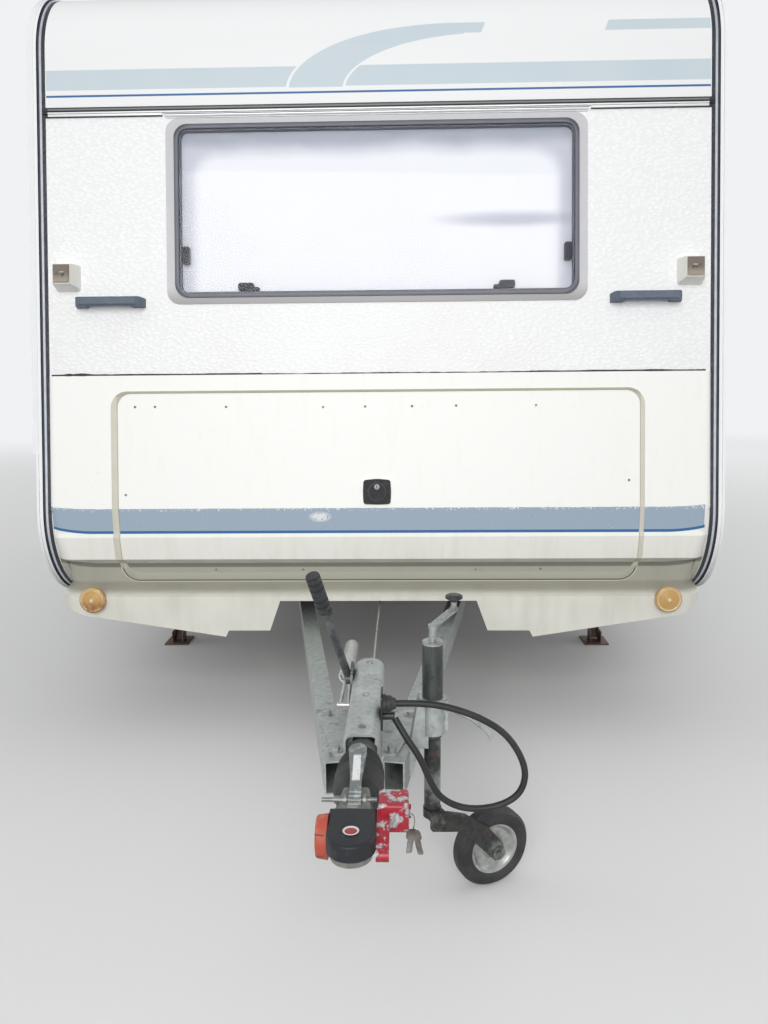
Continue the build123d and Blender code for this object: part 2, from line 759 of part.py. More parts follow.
RAIL_LENGTH = (RAIL_NOSE + RAIL_BACK) * hypot(1, RAIL_SPREAD)
RAIL_PLANE = Plane(
    origin=(RAIL_NOSE_X, FACE_Y - RAIL_NOSE, 0),
    x_dir=(RAIL_SPREAD, 1, 0),
    z_dir=(1, -RAIL_SPREAD, 0),
)


def rail_side(wall):
    """A drawbar rail seen from the side: shallow at the nose, deep under the floor."""
    rise = [(RAIL_NOSE + step) * hypot(1, RAIL_SPREAD) for step in RAIL_RISE]
    deep = FLOOR_BOTTOM - FRAME_DEEP
    low = RAIL_TOP - RAIL_DEEP
    points = [
        (-wall, low + wall),
        (rise[0], low + wall),
        (rise[1], deep + wall),
        (RAIL_LENGTH + wall, deep + wall),
        (RAIL_LENGTH + wall, FLOOR_BOTTOM - wall),
        (rise[1], FLOOR_BOTTOM - wall),
        (rise[0], RAIL_TOP - wall),
        (-wall, RAIL_TOP - wall),
    ]
    return make_face(Polyline(*points, close=True))


def drawbar_rail(wall):
    half = RAIL_WIDE / 2 - wall
    return extrude(RAIL_PLANE.offset(-half) * rail_side(wall), amount=2 * half)


def drawbar_rails():
    return pair(drawbar_rail(0) - drawbar_rail(RAIL_WALL))


def chassis_rails():
    """Channels from the ends of the drawbar rails to the rear, open to the middle, with round holes."""
    x1 = rail_x(RAIL_BACK) + RAIL_WIDE / 2 + 2
    x0 = x1 - FRAME_FLANGE
    y0, y1 = FACE_Y + RAIL_BACK + 12, REAR_Y - 250
    z0 = FLOOR_BOTTOM - FRAME_DEEP
    rail = block(x0, x1, y0, y1, z0, FLOOR_BOTTOM)
    rail -= block(x0 - 1, x1 - RAIL_WALL, y0 - 1, y1 + 1, z0 + RAIL_WALL, FLOOR_BOTTOM - RAIL_WALL)
    middle = (z0 + FLOOR_BOTTOM) / 2
    for back in FRAME_HOLES:
        y = FACE_Y + back
        rail -= rod((x1 - 2 * RAIL_WALL, y, middle), (x1 + 1, y, middle), FRAME_HOLE_RADIUS)
    return pair(rail)


def outriggers():
    """Tapered brackets that carry the floor's edge outside the rails."""
    x0, x1 = rail_x(RAIL_BACK) + RAIL_WIDE / 2 + 2, INNER_X - 30
    low = FLOOR_BOTTOM - FRAME_DEEP
    inner = [(x0, low + 10), (x0, FLOOR_BOTTOM)]
    shape = Polyline(*inner, (x1, FLOOR_BOTTOM), (x1, FLOOR_BOTTOM - 30), close=True)
    brackets = []
    for back in OUTRIGGER_BACK:
        y = FACE_Y + back
        web = extrude(Plane.XZ.offset(-y) * make_face(shape), amount=RAIL_WALL)
        flange = block(x0, x1, y - RAIL_WALL, y + 30, FLOOR_BOTTOM - RAIL_WALL, FLOOR_BOTTOM)
        brackets.append(web + flange)
    return brackets


# Distances behind the locker's face
CROSS_BACK = [650, 1950, 3950]
CROSS_HALF = WHEEL_BOX_X - 10
OUTRIGGER_BACK = [2000, 2900]
FRAME_HOLES = [2150, 2700, 3000, 3300, 3600]
FRAME_HOLE_RADIUS = 35


def cross_members():
    bars = []
    rail = drawbar_rail(0) + mirror(drawbar_rail(0), about=Plane.YZ)
    for back in CROSS_BACK:
        y = FACE_Y + back
        bar = block(-CROSS_HALF, CROSS_HALF, y - 25, y + 25, FLOOR_BOTTOM - 50, FLOOR_BOTTOM)
        frame_x = rail_x(RAIL_BACK) + RAIL_WIDE / 2 + 2
        if back > RAIL_BACK:
            for side in (-1, 1):
                x0, x1 = sorted((side * (frame_x - FRAME_FLANGE), side * frame_x))
                bar -= block(x0, x1, -FAR, FAR, 0, FAR)
        bar -= rod((BRAKE_ROD_X, -FAR, BRAKE_ROD_Z), (BRAKE_ROD_X, FAR, BRAKE_ROD_Z), BUSH_RADIUS)
        bars.append(bar - rail)
    return together(*bars)


def chassis_frame():
    frame = chassis_rails()
    right = frame.solids()[0]
    left = frame.solids()[1]
    if right.center().X < left.center().X:
        right, left = left, right
    for bracket in outriggers():
        right += bracket
        left += mirror(bracket, about=Plane.YZ)
    return together(right + left + cross_members())


def axle_beam():
    """A rubber-sprung beam axle with its trailing arms, stub axles and brake plates."""
    beam_y, beam_z = AXLE_Y - BEAM_LEAD, FLOOR_BOTTOM - FRAME_DEEP - BEAM_RADIUS - 8
    arm_x = WHEEL_BOX_X - ARM_INSET
    axle = rod((-arm_x, beam_y, beam_z), (arm_x, beam_y, beam_z), BEAM_RADIUS)
    saddle_x = rail_x(RAIL_BACK)
    top = FLOOR_BOTTOM - FRAME_DEEP
    for side in (-1, 1):
        middle = side * saddle_x
        axle += block(middle - 30, middle + 30, beam_y - 60, beam_y + 60, beam_z, top)
        x0, x1 = side * arm_x, side * (arm_x + 30)
        hub = (AXLE_Y, TYRE_RADIUS)
        axle += rod((x0, beam_y, beam_z), (x1, beam_y, beam_z), 50)
        axle += rod((x0, *hub), (x1, *hub), 45)
        profile = [
            (beam_y, beam_z - 45),
            (hub[0], hub[1] - 40),
            (hub[0], hub[1] + 40),
            (beam_y, beam_z + 45),
        ]
        arm = make_face(Polyline(*profile, close=True))
        low, high = sorted((x0, x1))
        axle += across(arm, low, high)
        axle += rod((x1, *hub), (side * (TRACK_HALF - 20), *hub), 18)
        axle += rod((x1, *hub), (side * (arm_x + 36), *hub), 118)
    return axle


def road_tyre(side):
    """A tyre with a rounded tread and bulged walls, turned about the hub."""
    half = TYRE_WIDE / 2
    shape = Polyline(
        (-half + 22, RIM_RADIUS),
        (half - 22, RIM_RADIUS),
        (half, RIM_RADIUS + 55),
        (half - 14, TYRE_RADIUS - 12),
        (half - 32, TYRE_RADIUS),
        (-half + 32, TYRE_RADIUS),
        (-half + 14, TYRE_RADIUS - 12),
        (-half, RIM_RADIUS + 55),
        close=True,
    )
    ring = revolve(make_face(shape), axis=Axis.X, revolution_arc=360)
    return Pos(side * TRACK_HALF, AXLE_Y, TYRE_RADIUS) * ring


def road_wheel(side):
    """A pressed wheel with its dished disc, and the brake drum and hub cap bolted behind it."""
    half = TYRE_WIDE / 2 - 22
    rim = Polyline(
        (-half, RIM_RADIUS - 8),
        (-half, RIM_RADIUS),
        (half, RIM_RADIUS),
        (half, RIM_RADIUS - 8),
        (20, RIM_RADIUS - 14),
        close=True,
    )
    barrel = revolve(make_face(rim), axis=Axis.X, revolution_arc=360)
    disc = Polyline(
        (8, 19),
        (16, 19),
        (16, 70),
        (34, 110),
        (24, RIM_RADIUS - 10),
        (14, RIM_RADIUS - 10),
        (26, 110),
        (8, 75),
        close=True,
    )
    barrel += revolve(make_face(disc), axis=Axis.X, revolution_arc=360)
    drum_inner = -(TRACK_HALF - (WHEEL_BOX_X - ARM_INSET + 42))
    drum = Polyline((drum_inner, 112), (drum_inner, 124), (8, 124), (8, 19), (0, 19), (0, 112), close=True)
    barrel += revolve(make_face(drum), axis=Axis.X, revolution_arc=360)
    cap = Polyline((14, 19), (36, 19), (36, 0), (46, 0), (46, 20), (40, 30), (14, 36), close=True)
    barrel += revolve(make_face(cap), axis=Axis.X, revolution_arc=360)
    for step in range(4):
        hole = Rot(90 * step + 45, 0, 0) * Pos(28, 0, 122) * Rot(0, 90, 0) * Cylinder(14, 60)
        barrel -= hole
    if side < 0:
        barrel = mirror(barrel, about=Plane.YZ)
    return Pos(side * TRACK_HALF, AXLE_Y, TYRE_RADIUS) * barrel


WING_REAR = (130, 775)
WING_FRONT = (74, 985)


def overrun_housing():
    """A pressed housing over the draw tube, with a collar and wing plates that bolt on the drawbar rails."""
    half = HOUSING_WIDE / 2
    y0, y1 = FACE_Y - HOUSING_FRONT, FACE_Y - HOUSING_REAR

    def shell(inset, low):
        side = half - inset
        line = Polyline((-side, y1 - half), (-side, y0), (side, y0), (side, y1 - half))
        plan = make_face(line + ThreePointArc((side, y1 - half), (0, y1 - inset), (-side, y1 - half)))
        shape = extrude(Pos(0, 0, low) * plan, amount=HOUSING_TOP - inset - low)
        return fillet(shape.edges().group_by(Axis.Z)[-1].sort_by(Axis.Y)[1:], 18 - inset)

    body = shell(0, RAIL_TOP) - shell(HOUSING_WALL, RAIL_TOP - 1)
    body += rod((0, y0 - 12, TUBE_Z), (0, y0 + 30, TUBE_Z), half - 2)
    body -= rod((0, y0 - 13, TUBE_Z), (0, y0 + 40, TUBE_Z), DRAW_RADIUS + 0.5)
    body -= rod((BRAKE_ROD_X, y1 - 30, BRAKE_ROD_Z), (BRAKE_ROD_X, y1 + 1, BRAKE_ROD_Z), BUSH_RADIUS)
    corners = [
        (half - HOUSING_WALL, WING_FRONT[1]),
        WING_FRONT,
        WING_REAR,
        (half - HOUSING_WALL, WING_REAR[1] - 40),
    ]
    wing = make_face(Polyline(*[(x, FACE_Y - reach) for x, reach in corners], close=True))
    wing = extrude(Pos(0, 0, RAIL_TOP) * wing, amount=6)
    outer = wing.edges().filter_by(Axis.Z).group_by(Axis.X)
    wing = fillet(outer[-1] + outer[-2], 12)
    return body + wing + mirror(wing, about=Plane.YZ)


def draw_tube():
    """The sliding tube between the housing and the coupling head."""
    front = (0, FACE_Y - SOCKET_REACH + CUP_RADIUS + 30, TUBE_Z)
    return pipe(front, (0, FACE_Y - HOUSING_REAR - 60, TUBE_Z), DRAW_RADIUS, 6)


def bellows():
    """A rubber gaiter turned from its profile: tight folds behind, one long bulge in front."""
    inner = DRAW_RADIUS + 0.5
    start = 12.5
    length = BELLOWS_FRONT - HOUSING_FRONT
    crest = BELLOWS_RADIUS
    points = [(start, inner), (start, crest - 10)]
    for step, drop in enumerate(BELLOWS_FOLDS):
        along = start + BELLOWS_PITCH * (step + 0.5)
        points += [(along, crest - drop), (along + BELLOWS_PITCH / 2, crest - drop - 6)]
    last = points[-1][0]
    points += [(last + 8, crest), (length - 50, crest), (length - 22, crest - 6)]
    points += [(length - 8, crest - 14), (length, SLEEVE_RADIUS + 1), (length, inner)]
    shape = revolve(make_face(Polyline(*points, close=True)), axis=Axis.X, revolution_arc=360)
    return Pos(0, FACE_Y - HOUSING_FRONT, TUBE_Z) * Rot(0, 0, -90) * shape


def coupling_head():
    """The cast head: a sleeve on the draw tube, a cup for the towing ball and ears for the handle's pin."""
    socket_y = FACE_Y - SOCKET_REACH
    sleeve = rod((0, socket_y + 62, TUBE_Z), (0, FACE_Y - BELLOWS_FRONT - 0.5, TUBE_Z), SLEEVE_RADIUS)
    sleeve += Pos(0, socket_y + 62, TUBE_Z) * Sphere(SLEEVE_RADIUS)
    shoulders = Polyline(
        (-CUP_RADIUS, 0),
        (-CUP_RADIUS + 1, SHOULDER_BACK),
        (-24, BELLOWS_BACK),
        (24, BELLOWS_BACK),
        (CUP_RADIUS - 1, SHOULDER_BACK),
        (CUP_RADIUS, 0),
        close=True,
    )
    plan = make_face(shoulders) + Circle(CUP_RADIUS)
    cup = extrude(Pos(0, socket_y, CUP_BOTTOM) * plan, amount=CUP_TOP - CUP_BOTTOM)
    cup = chamfer(cup.edges().group_by(Axis.Z)[-1], 5)
    head = sleeve + cup
    pin_y = FACE_Y - PIN_REACH
    for side in (-1, 1):
        x0, x1 = sorted((side * 15, side * 21))
        ear = rod((x0, pin_y, PIN_Z), (x1, pin_y, PIN_Z), 11)
        head += ear + block(x0, x1, pin_y - 11, pin_y + 11, TUBE_Z + 20, PIN_Z)
    head -= rod((0, socket_y, CUP_BOTTOM - 1), (0, socket_y, CUP_BOTTOM + SOCKET_DEEP), SOCKET_RADIUS)
    head += rod((-PIN_LEFT, pin_y, PIN_Z), (PIN_RIGHT, pin_y, PIN_Z), PIN_RADIUS)
    head += rod((-38, pin_y, PIN_Z), (-21, pin_y, PIN_Z), PIN_RADIUS + 3)
    return head + draw_tube()


# The handle's top line: distance before the locker's face, height above the draw tube
HANDLE_LINE = [
    (1367, 38),
    (1300, 59),
    (1250, 77),
    (1212, 87),
]


def coupling_handle():
    """The release handle: a strip that rises over the bellows to a round grip, with ribs and a hinge eye."""
    top = [(FACE_Y - reach, TUBE_Z + rise) for reach, rise in HANDLE_LINE]
    under = [(y, z - HANDLE_THICK) for y, z in reversed(top)]
    side = across(make_face(Polyline(*top, *under, close=True)), -FAR, FAR)
    y0, y1 = top[0][0], top[-1][0]
    grip = 17.5
    edge = [(12, y0), (10.5, y0 + 70), (grip, y1 - grip)]
    plan = make_face(Polyline(*edge, *[(-x, y) for x, y in reversed(edge)], close=True))
    plan += Pos(0, y1 - grip) * Circle(grip)
    handle = side & extrude(plan, amount=FAR)
    slope = (top[1][1] - top[0][1]) / (top[1][0] - y0)
    for rib in range(4):
        y = y0 + 8 + rib * 9
        z = top[0][1] + (y - y0) * slope
        handle -= rod((-20, y, z + 1.5), (20, y, z + 1.5), 3)
    pin_y = FACE_Y - PIN_REACH
    handle += rod((-12, pin_y, PIN_Z), (12, pin_y, PIN_Z), 9)
    room = rod((-13, pin_y, PIN_Z), (13, pin_y, PIN_Z), PIN_RADIUS + 0.3)
    head = rod((0, FACE_Y - SOCKET_REACH, TUBE_Z), (0, FACE_Y - BELLOWS_FRONT, TUBE_Z), SLEEVE_RADIUS + 0.5)
    level = block(-FAR, FAR, FACE_Y - SOCKET_REACH, FACE_Y - BELLOWS_FRONT, 0, CUP_TOP + 0.3)
    return handle - room - head - level


def soft_dock():
    """The rubber-faced cover over the head, with a raised ring for the wear button."""
    y = FACE_Y - SOCKET_REACH
    bow = DOCK_HALF - DOCK_RADIUS
    plan = Polyline((DOCK_HALF, bow), (DOCK_HALF, DOCK_BACK), (-DOCK_HALF, DOCK_BACK), (-DOCK_HALF, bow))
    plan += ThreePointArc((-DOCK_HALF, bow), (0, -DOCK_RADIUS), (DOCK_HALF, bow))
    cover = extrude(Pos(0, y, DOCK_BOTTOM) * make_face(plan), amount=DOCK_TOP - DOCK_BOTTOM)
    cover = fillet(cover.edges().group_by(Axis.Z)[-1], 5)
    cover += Pos(0, y, DOCK_TOP) * (Cylinder(15, 3) - Cylinder(11, 4))
    cover += Pos(0, y, DOCK_TOP) * Cylinder(8.5, 2)
    room = Pos(0, y) * Circle(CUP_RADIUS + DOCK_ROOM)
    room += Pos(0, y + SHOULDER_BACK / 2) * Rectangle(2 * (CUP_RADIUS + DOCK_ROOM), SHOULDER_BACK)
    cover -= extrude(Pos(0, 0, DOCK_BOTTOM - 1) * room, amount=CUP_TOP + DOCK_ROOM - DOCK_BOTTOM + 1)
    return cover


def friction_caps():
    """The round, ribbed cover over the stabiliser's pad, on the cover's left flank."""
    y = FACE_Y - 1410
    plane = Plane(origin=(-DOCK_HALF, y, TUBE_Z + 11), x_dir=(0, 1, 0), z_dir=(-1, 0, 0))
    cap = extrude(plane * Circle(CAP_RADIUS), amount=CAP_DEEP, taper=8)
    rim = CAP_RADIUS - CAP_DEEP * tan(radians(8))
    cap = fillet(cap.edges().group_by(Axis.X)[0], 5)
    for step in range(3):
        slot = Pos(rim - 9 - 7 * step, 0) * Rectangle(3, 26 + 8 * step)
        cap -= extrude(plane.offset(CAP_DEEP - 2) * slot, amount=3)
    return cap


def hitch_lock():
    """A clamp-on lock beside the head: a case and a rounded bar that lies along the cover's flank."""
    case = block(DOCK_HALF + 2, 98, FACE_Y - 1390, FACE_Y - 1331, TUBE_Z + 4, TUBE_Z + 58)
    case = fillet(case.edges(), 6)
    ends = [(FACE_Y - 1380, TUBE_Z + 32), (FACE_Y - 1462, TUBE_Z + 10)]
    bar = rod((DOCK_HALF, *ends[0]), (DOCK_HALF + 22, *ends[0]), 11)
    bar += rod((DOCK_HALF, *ends[1]), (DOCK_HALF + 22, *ends[1]), 11)
    run = Vector(0, ends[1][0] - ends[0][0], ends[1][1] - ends[0][1])
    middle = Plane(origin=(DOCK_HALF + 11, *ends[0]), x_dir=(1, 0, 0), z_dir=run)
    bar += extrude(middle * Rectangle(22, 22), amount=run.length)
    barrel = rod((98, FACE_Y - 1360, TUBE_Z + 30), (102, FACE_Y - 1360, TUBE_Z + 30), 12)
    return case + bar + barrel


def handbrake():
    """The parking brake lever, pulled up: toothed plate, tube and ribbed grip."""
    x = -HOUSING_WIDE / 2
    base = Vector(x - 12, FACE_Y - 760, TUBE_Z + 40)
    top = Vector(-122, FACE_Y - 885, TUBE_Z + 341)
    run = (top - base).normalized()
    foot = top - run * GRIP_LONG
    lever = rod(tuple(base), tuple(foot + run * 5), 10)
    rings = 7
    pitch = GRIP_LONG / rings
    for ring in range(rings):
        start = foot + run * (pitch * ring)
        lever += rod(tuple(start), tuple(start + run * (pitch * 0.75)), GRIP_RADIUS)
        lever += rod(tuple(start), tuple(start + run * pitch), GRIP_RADIUS - 1.5)
    lever += rod(tuple(base - Vector(7, 0, 0)), tuple(base + Vector(12, 0, 0)), 15)
    plate = Pos(base.Y, base.Z) * Circle(42)
    plate = across(plate, x - 6, x)
    for tooth in range(9):
        angle = radians(20 + 15 * tooth)
        y, z = base.Y + 43 * cos(angle), base.Z + 43 * sin(angle)
        plate -= rod((x - 7, y, z), (x + 1, y, z), 4)
    return lever + plate


def brake_linkage():
    """The spring store with its collar and fork, and the rod that runs back to the axle."""
    front, rear = FACE_Y - STORE_FRONT, FACE_Y - STORE_REAR
    store = rod((STORE_X, front, STORE_Z), (STORE_X, rear, STORE_Z), STORE_RADIUS)
    store = fillet(store.edges().sort_by(Axis.Y)[-1], 12)
    store += pipe((STORE_X, front - 10, STORE_Z), (STORE_X, front + 4, STORE_Z), STORE_RADIUS + 1.5, 5)
    bolt_y, bolt_z = front - 125, STORE_Z - 30
    store += rod((STORE_X + 8, front + 5, STORE_Z - 4), (STORE_X + 12, bolt_y, bolt_z), 4.5)
    store += rod((STORE_X - 2, front + 5, STORE_Z - 4), (STORE_X - 8, bolt_y, bolt_z), 4.5)
    store += rod((STORE_X - 16, bolt_y, bolt_z), (-HOUSING_WIDE / 2, bolt_y, bolt_z), 6)
    end = AXLE_Y - BEAM_LEAD - BEAM_RADIUS - 30
    line = rod((BRAKE_ROD_X, FACE_Y - HOUSING_REAR - 40, BRAKE_ROD_Z), (BRAKE_ROD_X, end, BRAKE_ROD_Z), 3.5)
    for back in CROSS_BACK[:2]:
        y = FACE_Y + back
        line += rod((BRAKE_ROD_X, y - 28, BRAKE_ROD_Z), (BRAKE_ROD_X, y + 28, BRAKE_ROD_Z), BUSH_RADIUS)
    return together(store, line)


JOCKEY_Y = FACE_Y - JOCKEY_REACH


CLAMP_LOW = 435
CLAMP_HIGH = 521
CLAMP_RING = JOCKEY_RADIUS + 7
HANDLE_PATH = [
    (30, -6, 499),
    (85, -30, 482),
    (124, -30, 450),
    (136, -30, 432),
]


def jockey_clamp():
    """The clamp on the right rail: foot, web, ring with two lugs, and a bent tightening handle."""
    ring = pipe((JOCKEY_X, JOCKEY_Y, CLAMP_LOW), (JOCKEY_X, JOCKEY_Y, CLAMP_HIGH), CLAMP_RING, 7)
    rail = rail_x(-JOCKEY_REACH)
    edge = rail + RAIL_WIDE / 2
    foot = block(edge - 6, JOCKEY_X - 10, JOCKEY_Y - 28, JOCKEY_Y + 28, RAIL_TOP, RAIL_TOP + 8)
    cheek = block(edge - 6, edge + 8, JOCKEY_Y - 28, JOCKEY_Y + 28, RAIL_TOP - RAIL_DEEP + 10, RAIL_TOP)
    foot += cheek - drawbar_rail(0)
    web = Polyline(
        (edge - 4, RAIL_TOP),
        (JOCKEY_X - 10, RAIL_TOP),
        (JOCKEY_X - 10, CLAMP_HIGH),
        (JOCKEY_X - 34, CLAMP_HIGH),
        close=True,
    )
    webs = [extrude(Plane.XZ.offset(-JOCKEY_Y + step) * make_face(web), amount=5) for step in (-25, 20)]
    lugs = []
    for step in (-13, 5):
        y = JOCKEY_Y + step
        lugs.append(block(JOCKEY_X + 20, JOCKEY_X + 36, y, y + 8, CLAMP_LOW + 8, CLAMP_HIGH - 8))
    bolt = rod((JOCKEY_X + 30, JOCKEY_Y - 28, 499), (JOCKEY_X + 30, JOCKEY_Y + 20, 499), 5)
    path = FilletPolyline(*[(JOCKEY_X + x, JOCKEY_Y + y, z) for x, y, z in HANDLE_PATH], radius=[18, 14])
    handle = sweep(Plane(origin=path @ 0, z_dir=path % 0) * Circle(5), path=path)
    clamp = ring + foot + webs[0] + webs[1] + lugs[0] + lugs[1] + bolt + handle
    return clamp - rod((JOCKEY_X, JOCKEY_Y, 0), (JOCKEY_X, JOCKEY_Y, FAR), JOCKEY_RADIUS)


def jockey_outer_tube():
    """The tube in the clamp, which ends a little below it."""
    low = (JOCKEY_X, JOCKEY_Y, JOCKEY_BOTTOM)
    return pipe(low, (JOCKEY_X, JOCKEY_Y, JOCKEY_TOP), JOCKEY_RADIUS, JOCKEY_WALL)


def flat_bar(start, end, wide, thick):
    """A flat strip between two points, its broad face up."""
    run = Vector(*end) - Vector(*start)
    across_run = Vector(0, 0, 1).cross(run)
    plane = Plane(origin=start, x_dir=across_run, z_dir=run)
    return extrude(plane * Rectangle(wide, thick), amount=run.length)


def jockey_crank():
    """The crank on top: a cap and stub, a flat arm, and an upright handle with a mushroom knob."""
    stub = (JOCKEY_X, JOCKEY_Y, JOCKEY_TOP)
    cap = rod(stub, (JOCKEY_X, JOCKEY_Y, JOCKEY_TOP + 5), JOCKEY_RADIUS)
    elbow = (JOCKEY_X, JOCKEY_Y, JOCKEY_TOP + 40)
    reach = (JOCKEY_X + 52, JOCKEY_Y + 60, JOCKEY_TOP + 62)
    crank = cap + rod(stub, elbow, 9) + Pos(*elbow) * Cylinder(11, 8) + flat_bar(elbow, reach, 20, 6)
    crank += Pos(*reach) * Cylinder(10, 8)
    neck = (reach[0], reach[1], reach[2] + 22)
    crank += rod(reach, neck, 7)
    profile = Polyline((0, 0), (12, 0), (20.5, 5), (20.5, 11), (15, 14), (0, 15), close=True)
    return crank + Pos(*neck) * revolve(make_face(Plane.XZ * profile), axis=Axis.Z, revolution_arc=360)


STEM_RADIUS = JOCKEY_RADIUS - JOCKEY_WALL - STEM_FIT


def jockey_stem():
    """The inner tube, closed below, that slides in the clamped one."""
    low, high = JOCKEY_SWIVEL_Z, JOCKEY_BOTTOM + STEM_INSIDE
    stem = rod((JOCKEY_X, JOCKEY_Y, low), (JOCKEY_X, JOCKEY_Y, high), STEM_RADIUS)
    hollow = [(JOCKEY_X, JOCKEY_Y, low + 12), (JOCKEY_X, JOCKEY_Y, high + 1)]
    return stem - rod(*hollow, STEM_RADIUS - JOCKEY_WALL)


TRAIL = hypot(JOCKEY_TRAIL_X, JOCKEY_TRAIL_Y)
HUB = (JOCKEY_X + JOCKEY_TRAIL_X, JOCKEY_Y + JOCKEY_TRAIL_Y, JOCKEY_WHEEL_RADIUS)
WHEEL_SIDE = (JOCKEY_TRAIL_Y / TRAIL, -JOCKEY_TRAIL_X / TRAIL, 0)


def along_spin(distance):
    """A point on the jockey wheel's spin axis, counted towards the drawbar's nose."""
    return tuple(HUB[i] + WHEEL_SIDE[i] * distance for i in range(3))


def jockey_fork():
    """A one-sided arm from the swivel under the stem to the wheel's pin."""
    z1 = JOCKEY_SWIVEL_Z - 0.5
    swivel = rod((JOCKEY_X, JOCKEY_Y, z1 - 22), (JOCKEY_X, JOCKEY_Y, z1), 22)
    frame = Plane(origin=(JOCKEY_X, JOCKEY_Y, 0), x_dir=(JOCKEY_TRAIL_X, JOCKEY_TRAIL_Y, 0), z_dir=WHEEL_SIDE)
    near = JOCKEY_TYRE_WIDE / 2 + 7
    hub_z = JOCKEY_WHEEL_RADIUS
    corners = [
        (-22, z1),
        (22, z1),
        (70, z1 - 18),
        (TRAIL - 30, hub_z + 75),
        (TRAIL + 12, hub_z + 24),
        (TRAIL + 20, hub_z - 8),
        (TRAIL - 8, hub_z - 22),
        (TRAIL - 38, hub_z + 12),
        (62, hub_z + 82),
        (-22, z1 - 40),
    ]
    outline_face = make_face(Polyline(*corners, close=True))
    arm = extrude(frame.offset(near) * fillet(outline_face.vertices(), 9), amount=6)
    boss = extrude(frame.offset(near) * (Pos(TRAIL, hub_z) * Circle(17)), amount=10)
    seat = make_face(Polyline((-18, z1 - 22), (18, z1 - 22), (18, z1), (-18, z1), close=True))
    bridge = extrude(frame * seat, amount=near)
    pin = rod(along_spin(near + 13), along_spin(-20), 8)
    return swivel + arm + boss + bridge + pin


def jockey_rim():
    """A pressed two-sided disc with a domed hub."""
    half = JOCKEY_TYRE_WIDE / 2 - 4
    hub = [(8.5, half + 5), (16, half + 5), (24, half - 6)]
    side = [*hub, (30, half - 12), (50, half - 12), (58, half - 2), (64, half)]
    front = [(out, radius) for radius, out in side]
    back = [(-out, radius) for radius, out in reversed(side)]
    wheel = revolve(make_face(Polyline(*front, *back, close=True)), axis=Axis.X, revolution_arc=360)
    return Plane(origin=HUB, x_dir=WHEEL_SIDE, z_dir=(0, 0, 1)).location * wheel


def jockey_tyre():
    half = JOCKEY_TYRE_WIDE / 2
    radius = JOCKEY_WHEEL_RADIUS
    side = [(64, half - 4), (76, half), (radius - 8, half - 4), (radius, half - 14)]
    front = [(out, r) for r, out in side]
    back = [(-out, r) for r, out in reversed(side)]
    ring = revolve(make_face(Polyline(*front, *back, close=True)), axis=Axis.X, revolution_arc=360)
    return Plane(origin=HUB, x_dir=WHEEL_SIDE, z_dir=(0, 0, 1)).location * ring


CABLE_RADIUS = 7.5
PLUG_REACH = 998
PLUG_Z = 538
PLUG_TAIL = 72
# Route of the hanging cable, from its clip on the housing round to the parked plug
CABLE_ROUTE = [
    (69, -985, 497),
    (92, -1003, 462),
    (127, -1014, 414),
    (147, -1014, 360),
    (170, -1012, 319),
    (212, -1008, 293),
    (262, -1004, 286),
    (316, -1000, 296),
    (354, -996, 322),
    (366, -994, 368),
    (350, -994, 418),
    (315, -996, 469),
    (259, -1000, 506),
    (192, -1004, 532),
    (128, -1004, 542),
    (72, -998, 538),
]


def cable():
    points = [Vector(x, FACE_Y + y, z) for x, y, z in CABLE_ROUTE]
    radii = []
    for a, b, c in zip(points, points[1:], points[2:]):
        half_turn = (b - a).get_angle(c - b) / 2
        radii.append(0.45 * min((b - a).length, (c - b).length) / tan(radians(half_turn)))
    path = FilletPolyline(*points, radius=radii)
    tube = sweep(Plane(origin=path @ 0, z_dir=path % 0) * Circle(CABLE_RADIUS), path=path)
    print("cable radii", [round(r) for r in radii], "length", round(path.length))
    print("cable volume", round(tube.volume), "expected", round(path.length * pi * CABLE_RADIUS**2))
    return tube


def plug_holder():
    """The parking socket's bracket on the housing, and the clip that the cable leaves."""
    x0 = HOUSING_WIDE / 2
    y = FACE_Y - PLUG_REACH
    plate = block(x0, x0 + 4, y - 24, y + 40, TUBE_Z + 18, TUBE_Z + 102)
    plate = fillet(plate.edges().filter_by(Axis.X), 10)
    clip = rod((x0 + 2, FACE_Y - 985, 503), (69, FACE_Y - 985, 503), 9)
    return plate + clip


def tow_plug():
    """The parked plug: a flanged nose against the bracket, a grooved body and a tapered gland."""
    x0 = HOUSING_WIDE / 2 + 4.5
    length = PLUG_TAIL - x0
    gland = [(length - 12, 18), (length - 9, 15), (length, 11), (length, 0)]
    profile = Polyline((0, 0), (0, 21), (7, 21), (7, 18), *gland, close=True)
    return Pos(x0, FACE_Y - PLUG_REACH, PLUG_Z) * revolve(make_face(profile), axis=Axis.X, revolution_arc=360)


# Corner steadies: name, side, direction of the foot along Y, hinge's Y
STEADIES = {
    "front_left": (-1, -1, FACE_Y + STEADY_HINGE),
    "front_right": (1, -1, FACE_Y + STEADY_HINGE),
    "rear_left": (-1, 1, REAR_Y - STEADY_HINGE),
    "rear_right": (1, 1, REAR_Y - STEADY_HINGE),
}
SPINDLE_REACH = 2 * STEADY_ARM * cos(radians(STEADY_STOWED)) + 60
BRACKET_HALF = 38


def placed(name, shape):
    """Moves a steady's piece, drawn with its hinge at the origin and its foot towards -Y."""
    side, way, hinge_y = STEADIES[name]
    if way > 0:
        shape = mirror(shape, about=Plane.XZ)
    return Pos(side * STEADY_X, hinge_y, STEADY_Z) * shape


